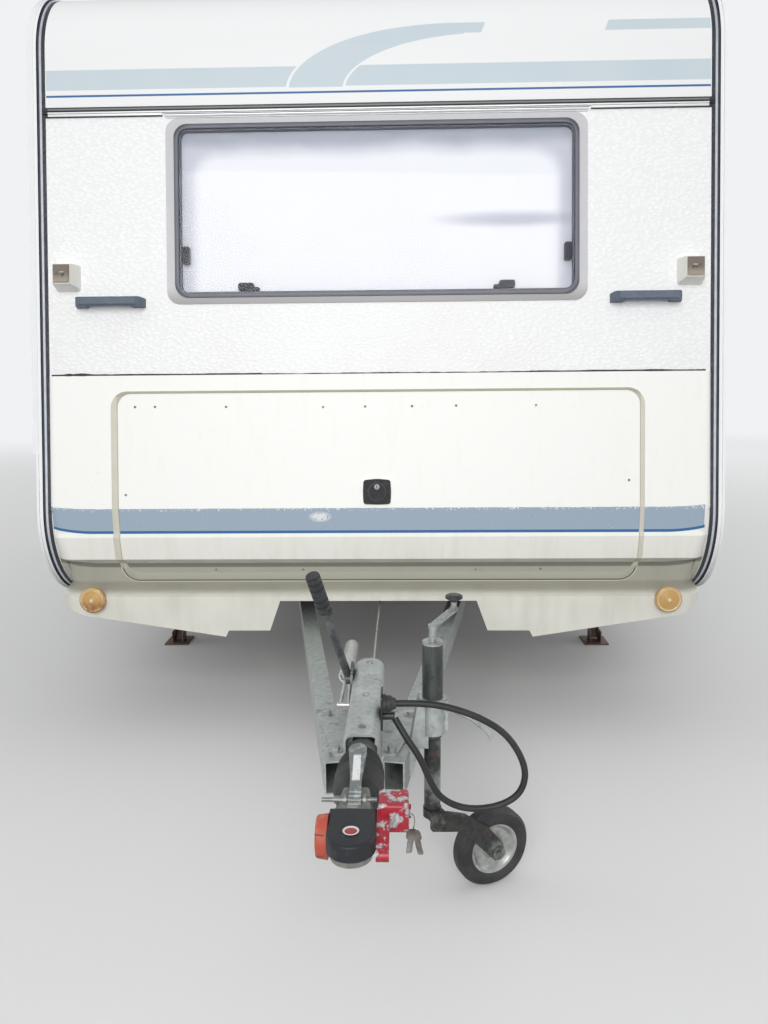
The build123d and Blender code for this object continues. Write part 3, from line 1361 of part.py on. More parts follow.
def steady_bracket():
    """A folded channel under the floor with the hinge pin and the cross-pinned spindle."""
    top = FLOOR_BOTTOM - STEADY_Z
    reach = SPINDLE_REACH + 20
    channel = block(-BRACKET_HALF, BRACKET_HALF, -reach, 30, top - 4, top)
    cheek = [(30, top), (30, -16), (-30, -16)]
    side = Polyline((-reach, top), *cheek, (-120, top - 25), (-reach, top - 25), close=True)
    for x in (-BRACKET_HALF, BRACKET_HALF - 4):
        channel += across(make_face(side), x, x + 4)
    channel += rod((-BRACKET_HALF, 0, 0), (BRACKET_HALF, 0, 0), 7)
    channel += block(-BRACKET_HALF, BRACKET_HALF, -reach, -reach + 5, -14, top)
    channel += rod((0, -reach - 30, 0), (0, -40, 0), 8)
    channel += rod((0, -reach - 45, 0), (0, -reach - 20, 0), 11)
    return channel


def steady_brackets():
    return together(*[placed(name, steady_bracket()) for name in STEADIES])


def leg_turned(shape, angle):
    """Turns a leg piece drawn along -Y so that it points down by an angle."""
    return Rot(angle, 0, 0) * shape


def steady_leg():
    """A channel with a hinge eye, a pin for the strut and a flat foot."""
    half = 22
    leg = block(-half, half, -STEADY_LEG, 12, -26, 14)
    leg -= block(-half + 4, half - 4, -STEADY_LEG - 1, 13, -22, 15)
    leg -= block(-half - 1, half + 1, -18, 13, -27, -12)
    leg -= rod((-half - 1, 0, 0), (half + 1, 0, 0), 7.5)
    leg += rod((-half - 3, -STEADY_ARM, 0), (half + 3, -STEADY_ARM, 0), 5)
    return leg_turned(leg, STEADY_DOWN)


def steady_foot():
    y = -STEADY_LEG * cos(radians(STEADY_DOWN))
    z = -STEADY_Z
    foot = block(-FOOT_WIDE / 2, FOOT_WIDE / 2, y - 60, y + 60, z, z + FOOT_THICK)
    for x in (-26, 22):
        foot += block(x, x + 4, y - 30, y + 30, z, z + 55)
    return foot


def steady_strut():
    """Two plates beside the spindle, with trunnion bosses at the nut's place."""
    reach = STEADY_ARM
    shape = block(-17, -13, -reach - 9, 9, -9, 9) + block(13, 17, -reach - 9, 9, -9, 9)
    shape -= rod((-18, 0, 0), (18, 0, 0), 5.5)
    shape += rod((-17, -reach, 0), (-10, -reach, 0), 12)
    shape += rod((10, -reach, 0), (17, -reach, 0), 12)
    shape += rod((-17, -40, 0), (17, -40, 0), 4)
    pin = leg_turned(Pos(0, -STEADY_ARM, 0) * Box(1, 1, 1), STEADY_DOWN).center()
    return Pos(0, pin.Y, pin.Z) * Rot(-STEADY_DOWN, 0, 0) * shape


def build():
    parts = {
        "front_wall": front_wall(),
        "rear_wall": rear_wall(),
        "roof": roof(),
        "side_wall_left": side_wall(-1),
        "side_wall_right": side_wall(1),
        "floor": floor(),
        "locker_shell": locker_shell(),
        "locker_lid": locker_lid(),
        "inner_panels": together(locker_bulkhead(), wheel_boxes()),
        "corner_trims": corner_trims(),
        "awning_rail": awning_rail(),
        "seam_rails": seam_rails(),
        "window_seals": window_seals(),
        "window_panes": window_panes(),
        "window_surrounds": window_surrounds(),
        "blinds": blinds(),
        "grab_handles": grab_handles(),
        "front_lamps": together(position_lamps(), marker_lamps()),
        "rear_lamps": rear_lamps(),
        "entrance_door": entrance_door(),
        "door_window": door_glazing(),
        "door_handle": door_handle(),
        "roof_hatch": roof_hatch(),
        "roof_fittings": hatch_frame(),
        "side_fittings": side_fittings(),
        "drawbar_rails": drawbar_rails(),
        "chassis_frame": chassis_frame(),
        "axle_beam": axle_beam(),
        "road_wheel_left": road_wheel(-1),
        "road_wheel_right": road_wheel(1),
        "road_tyre_left": road_tyre(-1),
        "road_tyre_right": road_tyre(1),
        "overrun_housing": overrun_housing(),
        "bellows": bellows(),
        "coupling_head": coupling_head(),
        "coupling_handle": coupling_handle(),
        "soft_dock": soft_dock(),
        "friction_caps": friction_caps(),
        "hitch_lock": hitch_lock(),
        "handbrake_lever": handbrake(),
        "brake_linkage": brake_linkage(),
        "jockey_clamp": jockey_clamp(),
        "jockey_outer_tube": jockey_outer_tube(),
        "jockey_crank": jockey_crank(),
        "jockey_stem": jockey_stem(),
        "jockey_fork": jockey_fork(),
        "jockey_rim": jockey_rim(),
        "jockey_tyre": jockey_tyre(),
        "plug_holder": plug_holder(),
        "tow_plug": tow_plug(),
        "tow_cable": cable(),
        "steady_brackets": steady_brackets(),
    }
    for name in STEADIES:
        parts["steady_leg_" + name] = placed(name, steady_leg() + steady_foot())
        parts["steady_strut_" + name] = placed(name, steady_strut())
    return parts


for node, shape in build().items():
    export_step(shape, f"parts/{node}.step")
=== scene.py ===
# %% [markdown]
# # Dressing a travel caravan
#
# This file dresses the solid model of an older touring caravan until it looks like the one in the
# photograph. Read it from top to bottom as a notebook: each step explains the real piece or finish
# first, and the code cell below it makes that one thing.
#
# The imported model is the frame that everything hangs on. Loading it gives one object for each rigid
# part, already in its place.

# %% Load the imported model
import math

import bmesh
import bpy
from mathutils import Matrix, Vector


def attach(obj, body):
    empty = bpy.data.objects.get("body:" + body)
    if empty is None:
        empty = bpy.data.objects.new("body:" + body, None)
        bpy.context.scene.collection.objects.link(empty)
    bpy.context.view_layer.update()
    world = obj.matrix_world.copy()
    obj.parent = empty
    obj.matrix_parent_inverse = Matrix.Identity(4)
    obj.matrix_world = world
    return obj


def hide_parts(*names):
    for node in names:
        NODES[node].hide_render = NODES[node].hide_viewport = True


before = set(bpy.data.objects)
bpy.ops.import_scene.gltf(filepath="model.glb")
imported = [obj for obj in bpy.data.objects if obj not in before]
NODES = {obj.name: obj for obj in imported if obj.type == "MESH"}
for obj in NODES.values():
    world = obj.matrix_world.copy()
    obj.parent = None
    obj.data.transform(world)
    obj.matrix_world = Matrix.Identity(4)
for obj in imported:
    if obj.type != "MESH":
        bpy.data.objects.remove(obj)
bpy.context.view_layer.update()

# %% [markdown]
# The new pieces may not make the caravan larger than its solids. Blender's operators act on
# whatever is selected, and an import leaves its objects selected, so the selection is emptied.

bpy.ops.object.select_all(action="DESELECT")

# %% [markdown]
# ## The camera
#
# A phone took the picture from just in front of the drawbar, a little to the right of the middle,
# at the height of a chest. A pinhole camera is fixed by its place, three angles and a focal length.
# The three turns are multiplied as matrices, because that says plainly in which order they happen:
# roll first, then the tilt down, then the turn to the left.

# %% Set up the camera
CAMERA_PLACE = (0.092, -4.1915, 1.267)
CAMERA_TURN = 1.48
CAMERA_TILT = 10.03
CAMERA_ROLL = -0.51
CAMERA_LENS = 27.91
CAMERA_NEAR = 0.05

bpy.ops.object.camera_add()
camera = bpy.context.object
camera.name = "camera"
camera.data.lens = CAMERA_LENS
camera.data.clip_start = CAMERA_NEAR
camera.matrix_world = (
    Matrix.Translation(CAMERA_PLACE)
    @ Matrix.Rotation(math.radians(CAMERA_TURN), 4, "Z")
    @ Matrix.Rotation(math.radians(90 - CAMERA_TILT), 4, "X")
    @ Matrix.Rotation(math.radians(CAMERA_ROLL), 4, "Z")
)
bpy.context.scene.camera = camera
bpy.context.scene.view_settings.view_transform = "Standard"
print("the camera stands at", CAMERA_PLACE)

# %% [markdown]
# ## Measures that the pieces share
#
# The body's front face leans back above a knee, so a height is enough to know how far back a point
# of it is. Everything that is laid on the front takes its depth from this one line. The axle and
# the hub's height place what belongs to the road wheels. All sizes are in metres.

# %% Name the shared measures
FACE_Y = -1.5245
KNEE_Z = 0.8
FRONT_SLOPE = 0.151
FRONT_ENDS_Y = -1.0
AXLE_Y = 0.9055
HUB_Z = 0.295
SIDES = ((-1, "left"), (1, "right"))


def front_y(z):
    """Where the front wall's outer face stands at a height."""
    return FACE_Y + (z - KNEE_Z) * FRONT_SLOPE


# %% [markdown]
# ## The tow cable
#
# A caravan's lead is a thick round cable in a black sheath. It leaves its clip beside the overrun
# housing, hangs in a wide loop over the jockey wheel and comes back to the parked plug. Its length
# is fixed, so it is drawn as one smooth curve through space: a NURBS spline whose control points
# are the corners of the route, given here as X, distance from the body's face and height. A curve's
# thickness is its bevel depth times its points' radius. Blender adds the radius alone to a curve's
# bounding box, so the radius holds the whole thickness here and the bevel depth is one.

# %% Lay the tow cable
CABLE_DIAMETER = 0.015
CABLE_ROUTE = [
    (0.069, -0.985, 0.497), (0.092, -1.003, 0.462), (0.127, -1.014, 0.414), (0.147, -1.014, 0.360),
    (0.170, -1.012, 0.319), (0.212, -1.008, 0.293), (0.262, -1.004, 0.286), (0.316, -1.000, 0.296),
    (0.354, -0.996, 0.322), (0.366, -0.994, 0.368), (0.350, -0.994, 0.418), (0.315, -0.996, 0.469),
    (0.259, -1.000, 0.506), (0.192, -1.004, 0.532), (0.128, -1.004, 0.542), (0.072, -0.998, 0.538),
]

cable_line = bpy.data.curves.new("tow_lead", "CURVE")
cable_line.dimensions = "3D"
cable_line.bevel_depth = 1.0
cable_line.bevel_resolution = 6
cable_line.use_fill_caps = True
spline = cable_line.splines.new("NURBS")
spline.points.add(len(CABLE_ROUTE) - 1)
for point, (across, reach, high) in zip(spline.points, CABLE_ROUTE):
    point.co = (across, FACE_Y + reach, high, 1)
    point.radius = CABLE_DIAMETER / 2
spline.order_u = 3
spline.use_endpoint_u = True
spline.resolution_u = 8
tow_lead = bpy.data.objects.new("tow_lead", cable_line)
bpy.context.scene.collection.objects.link(tow_lead)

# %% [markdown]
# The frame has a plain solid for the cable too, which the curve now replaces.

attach(tow_lead, "root")
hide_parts("tow_cable")
print("the tow lead hangs from", CABLE_ROUTE[0], "to", CABLE_ROUTE[-1])

# %% [markdown]
# ## A small language for finishes
#
# Every finish here is made of shader nodes, with no picture. Wiring nodes by hand hides what they
# work out, so a number that travels between nodes is wrapped in a small class: two of them can be
# added or multiplied like ordinary numbers, and each sum adds the Math node that does it.


# %% Wrap a socket so that shader maths reads as plain sums
class Signal:
    """A number or a colour on its way between two nodes of a finish."""

    def __init__(self, finish, socket):
        self.finish = finish
        self.socket = socket

    def _math(self, operation, *values):
        return self.finish.node("Math", {"operation": operation}, dict(enumerate(values)))

    def __add__(self, other):
        return self._math("ADD", self, other)

    def __mul__(self, other):
        return self._math("MULTIPLY", self, other)

    def __sub__(self, other):
        return self._math("SUBTRACT", self, other)

    def __rsub__(self, other):
        return self._math("SUBTRACT", other, self)

    def __truediv__(self, other):
        return self._math("DIVIDE", self, other)

    def __pow__(self, other):
        return self._math("POWER", self, other)

    def __abs__(self):
        return self._math("ABSOLUTE", self)

    __radd__ = __add__
    __rmul__ = __mul__

    def least(self, other):
        return self._math("MINIMUM", self, other)

    def most(self, other):
        return self._math("MAXIMUM", self, other)

    def sine(self):
        return self._math("SINE", self)

    def above(self, edge, soft):
        """0 below an edge and 1 above it, with a soft step between."""
        values = {0: self, 1: edge - soft, 2: edge + soft}
        return self.finish.node("MapRange", {"interpolation_type": "SMOOTHSTEP"}, values)

    def below(self, edge, soft):
        """1 below an edge and 0 above it."""
        return 1 - self.above(edge, soft)

    def within(self, low, high, soft):
        """1 between two values and 0 outside them."""
        return self.above(low, soft) * self.below(high, soft)


# %% [markdown]
# A second class holds one material. Its `node` method adds any kind of node, and the short methods
# below it are the few tools that a paint, a rubber and a metal all need: two textures, a stack of
# coloured layers, relief, and a mask of worn patches.


# %% Hold a material and its few tools
class Finish:
    """One material: its main shader, and the nodes that vary it over the surface."""

    def __init__(self, name, roughness=0.5, metallic=0.0):
        self.material = bpy.data.materials.new(name)
        self.material.use_nodes = True
        self.shader = self.material.node_tree.nodes["Principled BSDF"]
        self.set("Roughness", roughness)
        self.set("Metallic", metallic)
        self._axes = None

    def node(self, kind, settings=None, values=None, output=0):
        """Adds a node, sets it up, and wires or fills its sockets. Gives one of its outputs."""
        node = self.material.node_tree.nodes.new("ShaderNode" + kind)
        for name, value in (settings or {}).items():
            setattr(node, name, value)
        for key, value in (values or {}).items():
            self._fill(node.inputs[key], value)
        return Signal(self, node.outputs[output])

    def _fill(self, socket, value):
        if isinstance(value, Signal):
            self.material.node_tree.links.new(value.socket, socket)
        elif socket.type == "RGBA" and len(value) == 3:
            socket.default_value = (*value, 1)
        else:
            socket.default_value = value

    def set(self, name, value):
        self._fill(self.shader.inputs[name], value)

    def axes(self):
        """X, Y and Z of the surface point, in metres in the caravan's own frame."""
        if self._axes is None:
            place = self.node("TexCoord", output="Object")
            split = self.node("SeparateXYZ", values={0: place}).socket.node
            self._axes = [Signal(self, socket) for socket in split.outputs]
        return self._axes

    def _stretched(self, stretch):
        place = self.node("TexCoord", output="Object")
        return self.node("Mapping", values={"Vector": place, "Scale": stretch})

    def noise(self, scale, detail=3.0, rough=0.5, stretch=(1, 1, 1)):
        """Cloudy noise from 0 to 1. Scale is about how many blotches there are to a metre."""
        place = self._stretched(stretch)
        values = {"Vector": place, "Scale": scale, "Detail": detail, "Roughness": rough}
        return self.node("TexNoise", {}, values)

    def cells(self, scale, stretch=(1, 1, 1)):
        """Distance to the nearest of many scattered points."""
        return self.node("TexVoronoi", {}, {"Vector": self._stretched(stretch), "Scale": scale})

    def wear(self, scale, amount, soft=0.04):
        """A mask of scattered patches, that cover about an amount from 0 to 1."""
        edge = 0.72 - 0.42 * amount
        return self.noise(scale, 5.0, 0.62).above(edge, soft)

    def mix(self, mask, first, second):
        """A colour between two, by a mask."""
        return self.node("Mix", {"data_type": "RGBA"}, {0: mask, 6: first, 7: second}, 2)

    def colour(self, base, *layers):
        """Paints layers of (mask, colour) over a base colour."""
        paint = base
        for mask, over in layers:
            paint = self.mix(mask, paint, over)
        self.set("Base Color", paint)

    def bump(self, height, depth, strength):
        values = {"Height": height, "Distance": depth, "Strength": strength}
        self.set("Normal", self.node("Bump", {}, values))

    def grain(self, scale, depth, strength=0.4, detail=2.0):
        """Fine relief from noise."""
        self.bump(self.noise(scale, detail), depth, strength)


# %% [markdown]
# A rounded rectangle and an ellipse come back in many masks, for windows, lamps, a lock and curved
# stripes. Each is a formula for how far a point is from the rim, which `above` then turns into an
# edge. `dress` hands a finished material to solids of the model.


# %% Measure distances to round shapes
def rounded_distance(along, up, middle, high, half_long, half_high, corner):
    """Distance to the edge of a rounded rectangle, negative inside it."""
    beside = abs(along - middle) - (half_long - corner)
    above = abs(up - high) - (half_high - corner)
    free = (beside.most(0) * beside.most(0) + above.most(0) * above.most(0)) ** 0.5
    return free + beside.most(above).least(0) - corner


def ellipse(x, z, middle_x, middle_z, half_long, half_high):
    """1 on an ellipse's rim, less inside it."""
    across = (x - middle_x) / half_long
    along = (z - middle_z) / half_high
    return (across * across + along * along) ** 0.5


def dress(finish, *nodes):
    """Gives solids of the model a finish."""
    for name in nodes:
        for slot in NODES[name].material_slots:
            slot.material = finish.material
    print(finish.material.name, "covers", *nodes)


# %% [markdown]
# ## The stage
#
# The caravan stands in a plain studio: a pale floor, a pale backdrop from the world, and soft light
# from large lamps. On the wet road of the photograph hardly any light came back up, so the floor
# shows itself pale to the camera and in reflections, and darker to the light that it bounces. That
# keeps the underside as dark as it really is. Far away the floor fades into the backdrop's own
# colour, as a studio's curved paper does, so no horizon cuts through the picture.

# %% Build the stage
FLOOR_SIZE = 60.0
FLOOR_PALE = (0.74, 0.74, 0.73)
FLOOR_BOUNCE = (0.20, 0.20, 0.20)
BACKDROP = (0.873, 0.887, 0.90)
FLOOR_FADE = (9.0, 5.5)
BLACK = (0, 0, 0)

bpy.ops.mesh.primitive_plane_add(size=FLOOR_SIZE)
floor = bpy.context.object
floor.name = "studio_floor"
pale_floor = Finish("pale_floor", roughness=0.85)
rays = pale_floor.node("LightPath").socket.node.outputs
kinds = ("Is Camera Ray", "Is Glossy Ray", "Is Transmission Ray")
direct, glossy, through = (Signal(pale_floor, rays[kind]) for kind in kinds)
seen = direct.most(glossy).most(through)
x, y, z = pale_floor.axes()
far = ((x * x + y * y) ** 0.5).above(*FLOOR_FADE)
pale_floor.colour(FLOOR_BOUNCE, (seen, FLOOR_PALE), (seen * far, BLACK))
pale_floor.set("Emission Color", pale_floor.mix(seen * far, BLACK, BACKDROP))
pale_floor.set("Emission Strength", 1.0)
pale_floor.set("Specular IOR Level", 0.0)
floor.data.materials.append(pale_floor.material)
print("the floor is", FLOOR_SIZE, "m wide")

# %% [markdown]
# The world lights the caravan from all round like an overcast sky, and looks brighter to the camera
# than it shines. One broad lamp stands in front, only a metre above the roof, so that the leaning
# wall and the part below its fold get nearly the same light. Weaker ones behind and beside keep the
# other sides readable. Their strengths are set so that a white wall comes out just short of pure
# white.

# %% Light the stage
SKY_STRENGTH = 0.60
SKY_SEEN = 0.90
SKY_TINT = (0.97, 0.985, 1, 1)
LAMP_AIM = Vector((0, 0, 1.2))
LAMPS = [
    ("key_lamp", 425, 5.0, (-0.4, -9.0, 3.6)),
    ("back_lamp", 190, 7.0, (3.0, 9.0, 5.0)),
    ("right_lamp", 150, 5.0, (9.0, 1.5, 3.6)),
    ("left_lamp", 150, 5.0, (-9.0, 1.5, 3.6)),
]

world = bpy.data.worlds.new("overcast")
world.use_nodes = True
world_tree = world.node_tree
background = world_tree.nodes["Background"]
path = world_tree.nodes.new("ShaderNodeLightPath")
strength = world_tree.nodes.new("ShaderNodeMix")
strength.inputs[2].default_value = SKY_STRENGTH
strength.inputs[3].default_value = SKY_SEEN
world_tree.links.new(path.outputs["Is Camera Ray"], strength.inputs[0])
world_tree.links.new(strength.outputs[0], background.inputs["Strength"])
background.inputs["Color"].default_value = SKY_TINT
bpy.context.scene.world = world

for name, power, size, place in LAMPS:
    bpy.ops.object.light_add(type="AREA", location=place)
    lamp = bpy.context.object
    lamp.name = name
    lamp.data.energy = power
    lamp.data.size = size
    lamp.rotation_euler = (LAMP_AIM - Vector(place)).to_track_quat("-Z", "Y").to_euler()
print(len(LAMPS), "lamps and an overcast sky")

# %% [markdown]
# ## Finding what carries a piece
#
# Screws, beads and bolts sit on panels that lean and curve. A ray is a straight line shot at a
# solid: where it first lands is exactly the surface, so a piece that is placed by rays always
# touches what carries it, from whichever side it is seen. A flat frame can be draped in the same
# way, with one ray for each of its points. Over a gap a ray goes too deep, so it is tried again a
# little nearer to the piece's middle.

# %% Shoot rays at the solids
VIEWER_Y = -4
DEEPEST_Y = -1.2
PULL_INS = (0, 0.008, 0.016, 0.024)


def touch(node, start, aim):
    """The first point of a solid on a straight line, and the direction that its surface faces."""
    found, place, normal, _ = NODES[node].ray_cast(Vector(start), Vector(aim).normalized())
    if not found:
        raise ValueError("no surface of " + node + " on the line from " + str(start))
    return place, normal


def ahead(node, x, z):
    """The surface that the front shows at a width and a height."""
    return touch(node, (x, VIEWER_Y, z), (0, 1, 0))


def drape(piece, nodes, sink):
    """Lays a flat piece, drawn in the XZ plane, on solids. Its Y stays as its height above them."""
    points = piece.data.vertices
    middle = sum((vertex.co for vertex in points), Vector()) / len(points)
    for vertex in points:
        for pull in PULL_INS:
            start = vertex.co.lerp(middle, pull)
            line = Vector((start.x, VIEWER_Y, start.z)), Vector((0, 1, 0))
            hits = [NODES[node].ray_cast(*line) for node in nodes]
            depths = [place.y for found, place, _, _ in hits if found and place.y < DEEPEST_Y]
            if depths:
                break
        vertex.co.y += min(depths) + sink


# %% [markdown]
# ## Tools for making a piece
#
# Every new piece starts as a primitive and is worked on in edit mode, as a hand would do it: choose
# faces, inset them, pull them out, bevel their edges. In code, a face or an edge is chosen by where
# it is and which way it points.

# %% Choose faces and edges
def edit():
    bpy.ops.object.mode_set(mode="EDIT")


def leave_edit():
    bpy.ops.object.mode_set(mode="OBJECT")


def choose_all():
    bpy.ops.mesh.select_all(action="SELECT")


def choose(kind, test):
    """Selects the faces or the edges that pass a test."""
    bpy.ops.mesh.select_mode(type=kind)
    bpy.ops.mesh.select_all(action="DESELECT")
    mesh = bmesh.from_edit_mesh(bpy.context.edit_object.data)
    for part in mesh.faces if kind == "FACE" else mesh.edges:
        part.select_set(bool(test(part)))
    bmesh.update_edit_mesh(bpy.context.edit_object.data)


def choose_faces(test):
    """Chooses faces by a test on their middle and normal."""
    choose("FACE", lambda face: test(face.calc_center_median(), face.normal))


def choose_edges(test):
    """Chooses edges by a test on their middle and direction."""
    def passes(edge):
        first, second = (vertex.co for vertex in edge.verts)
        return test((first + second) / 2, (second - first).normalized())

    choose("EDGE", passes)


def shift(*move):
    """Moves what is chosen."""
    bpy.ops.transform.translate(value=move)


def pull_out(*move):
    """Extrudes what is chosen, and moves the new faces."""
    bpy.ops.mesh.extrude_region_move(TRANSFORM_OT_translate={"value": move})


def bake(place=False, turn=False, size=False):
    """Puts the active object's own place, turn or size into its mesh."""
    bpy.ops.object.transform_apply(location=place, rotation=turn, scale=size)


# %% [markdown]
# When a piece is done its place goes into its mesh, doubled points merge, faces turn outward, and
# it rides on a body of the model. A piece that comes many times is made once as a pattern at the
# origin, standing upright, and copied to each place with a mesh of its own.

# %% Finish a piece, or set out its copies
def clean(name, finish, smooth=35):
    """Names the active piece, puts its place into its mesh, and cleans and coats it."""
    piece = bpy.context.object
    piece.name = piece.data.name = name
    bake(place=True, turn=True, size=True)
    edit()
    choose_all()
    bpy.ops.mesh.remove_doubles(threshold=0.00002)
    bpy.ops.mesh.normals_make_consistent(inside=False)
    leave_edit()
    bpy.ops.object.shade_smooth_by_angle(angle=math.radians(smooth))
    piece.data.materials.clear()
    piece.data.materials.append(finish.material)
    piece.select_set(False)
    return piece


def complete(name, finish, body="root", smooth=35):
    """Cleans the active piece and ties it to a body."""
    piece = clean(name, finish, smooth)
    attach(piece, body)
    print(name, "has", len(piece.data.polygons), "faces and rides on", body)
    return piece


def facing(place, normal, turn=0.0):
    """The matrix that stands a piece, drawn upright at the origin, on a surface."""
    lean = Vector(normal).to_track_quat("Z", "Y").to_matrix().to_4x4()
    return Matrix.Translation(place) @ lean @ Matrix.Rotation(turn, 4, "Z")


def set_out(pattern, places, body="root"):
    """Copies a pattern to each place with its own mesh, then takes the pattern away."""
    print(len(places), "copies of", pattern.name, "ride on", body)
    for number, matrix in enumerate(places, 1):
        twin = pattern.copy()
        twin.data = pattern.data.copy()
        twin.name = twin.data.name = pattern.name + "_" + str(number)
        bpy.context.scene.collection.objects.link(twin)
        twin.data.transform(matrix)
        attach(twin, body)
    bpy.data.objects.remove(pattern)


# %% [markdown]
# ## Wall panels
#
# The walls are thin sheet with a hammered pattern rolled into it, painted white. The pattern hides
# dents and catches the light as small flat dimples. The distance to the nearest of many scattered
# points, squeezed in height, gives that relief through a Bump node, and the borders between the
# dimples are also painted a little darker as their painted shade. Dirt gathers faintly low down.
# Along the corners the trims' rubber laps on the sheet, and round the window its reveal is dark.

# %% Paint the walls
WALL_WHITE = (0.90, 0.90, 0.90)
LINE_BLUE = (0.035, 0.135, 0.33)
SLATE_BLUE = (0.33, 0.41, 0.495)
TRIM_BLACK = (0.028, 0.030, 0.038)
STRIPE = (0.734, 0.811)
STRIPE_LINE = (0.724, 0.734)
SIDES_START = 1.14
HAMMER = (88, (0.72, 0.72, 1.2))
SPLASH_TOP = 0.66
CORNER_RUBBER = (1.1225, 1.1345)
FRONT_WINDOW = (0.0, 1.8085, 0.683, 0.2885, 0.06)

wall_paint = Finish("hammered_white", roughness=0.38)
x, y, z = wall_paint.axes()
# one mask gives the dimples' relief and the painted shade along their borders
hammer_relief_and_shade = wall_paint.cells(*HAMMER).below(0.46, 0.22)
grime = wall_paint.wear(2.2, 0.35, 0.2) * z.below(1.3, 0.7) * 0.35
splash = wall_paint.noise(14, 5.0, 0.65).above(0.52, 0.12) * z.below(SPLASH_TOP, 0.12) * 0.5
side_faces = abs(x).above(SIDES_START, 0.005)
reveal = rounded_distance(x, z, *FRONT_WINDOW).below(-0.004, 0.001)
wall_paint.colour(
    WALL_WHITE,
    # painted shade: the dimples' borders are darkened in the colour
    ((1 - hammer_relief_and_shade) * 0.13, (0.45, 0.45, 0.46)),
    (grime, (0.60, 0.58, 0.52)),
    (wall_paint.wear(60, 0.05, 0.02) * 0.12, (0.45, 0.44, 0.42)),
    (z.within(*STRIPE, 0.001) * side_faces, SLATE_BLUE),
    (z.within(*STRIPE_LINE, 0.001) * side_faces, LINE_BLUE),
    (splash, (0.42, 0.40, 0.36)),
    (abs(x).within(*CORNER_RUBBER, 0.0004), TRIM_BLACK),
    (reveal * y.below(FRONT_ENDS_Y, 0.1), (0.13, 0.135, 0.16)),
)
wall_paint.bump(hammer_relief_and_shade, 0.0012, 0.6)
dress(wall_paint, "front_wall", "rear_wall", "side_wall_left", "side_wall_right", "entrance_door")

# %% [markdown]
# ## The upper front panel
#
# The roof's sheet is smooth. It bends down over the front and carries the decoration: a pale blue
# band, a swoosh that rises from it as part of an ellipse and runs on as a thin band, and a fine
# blue line below. Each edge is a sum of the surface point's X and Z, so the stripes stay sharp at
# any size. First the shapes of the stripes are worked out as masks.

# %% Draw the stripes of the upper front
LOW_BAND = (2.217, 2.284)
THIN_BAND = (2.384, 2.420)
FINE_LINE = (2.194, 2.201)
OUTER_ARC = (0.26, 2.205, 0.555, 0.215)
INNER_ARC = (0.40, 2.205, 0.507, 0.180)
ARC_LINE = 0.012
ARC_FOOT = 2.214
THIN_START = 0.29
THIN_BREAK = (0.363, 0.775)
SWOOSH_END = 0.30
SLANT_Z = 2.40
SLANT = 0.4

roof_paint = Finish("roof_white", roughness=0.3)
x, y, z = roof_paint.axes()
outer = ellipse(x, z, *OUTER_ARC)
inner = ellipse(x, z, *INNER_ARC)
rising = outer.below(1, 0.003) * inner.above(1, 0.003) * x.below(SWOOSH_END, 0.001)
swoosh = rising * z.above(ARC_FOOT, 0.001)
slant = x - (z - SLANT_Z) * SLANT
broken = slant.below(THIN_BREAK[0], 0.002)
thin_run = x.above(THIN_START, 0.002) * broken + slant.above(THIN_BREAK[1], 0.002)
thin = z.within(*THIN_BAND, 0.001) * thin_run
low_run = outer.above(1, 0.003) * x.below(0, 0.1) + inner.below(1, 0.003)
low_run = low_run + x.above(INNER_ARC[0], 0.05)
low = z.within(*LOW_BAND, 0.001) * low_run.least(1)
outer_rim = outer.within(1 - ARC_LINE / 2, 1 + ARC_LINE, 0.004)
inner_rim = inner.within(1 - ARC_LINE, 1 + ARC_LINE / 2, 0.004)
bare_rims = (outer_rim + inner_rim) * x.below(0.2, 0.1)
print("the low band runs between", *LOW_BAND)

# %% [markdown]
# The band has faded unevenly, and dirt lies on top of the roof. The front's own masks are cut off a
# little behind the bend, so nothing of the stripes shows on the roof.

# %% Paint the roof
PANEL_WHITE = (0.84, 0.842, 0.842)
BAND_BLUE = (0.54, 0.625, 0.67)
ROOF_DIRT_Z = 2.58

front_only = y.below(FRONT_ENDS_Y, 0.01)
band = low.most(thin).most(swoosh) * front_only * (1 - bare_rims.least(1))
fade = roof_paint.noise(3.0, 3.0).above(0.5, 0.25)
roof_dirt = roof_paint.wear(3.0, 0.35, 0.25) * z.above(ROOF_DIRT_Z, 0.02) * 0.4
roof_paint.colour(
    PANEL_WHITE,
    (roof_dirt, (0.52, 0.51, 0.47)),
    (band * (0.86 + fade * 0.14), BAND_BLUE),
    (z.within(*FINE_LINE, 0.0008) * front_only, LINE_BLUE),
)
roof_paint.grain(5, 0.0015, 0.2)
dress(roof_paint, "roof")

# %% [markdown]
# ## The front moulding and the locker lid
#
# The lower front is one glass fibre moulding in a warm cream gel coat, with the gas locker's lid
# cut out of it. The slate stripe is a film: it has lost small chips along its upper edge, so its
# mask is eaten by noise there, and one larger spot is worn through. Towards the body's round
# corners its lower edge rises.

# %% Draw the moulding's stripe
STRIPE_ENDS = 1.115
CORNER_START = 0.98
CORNER_RUN = 0.155
CORNER_LIFT = 0.021
CHIPS_FROM = 0.79
WORN_SPOT = (-0.195, 0.781, 0.040, 0.019)

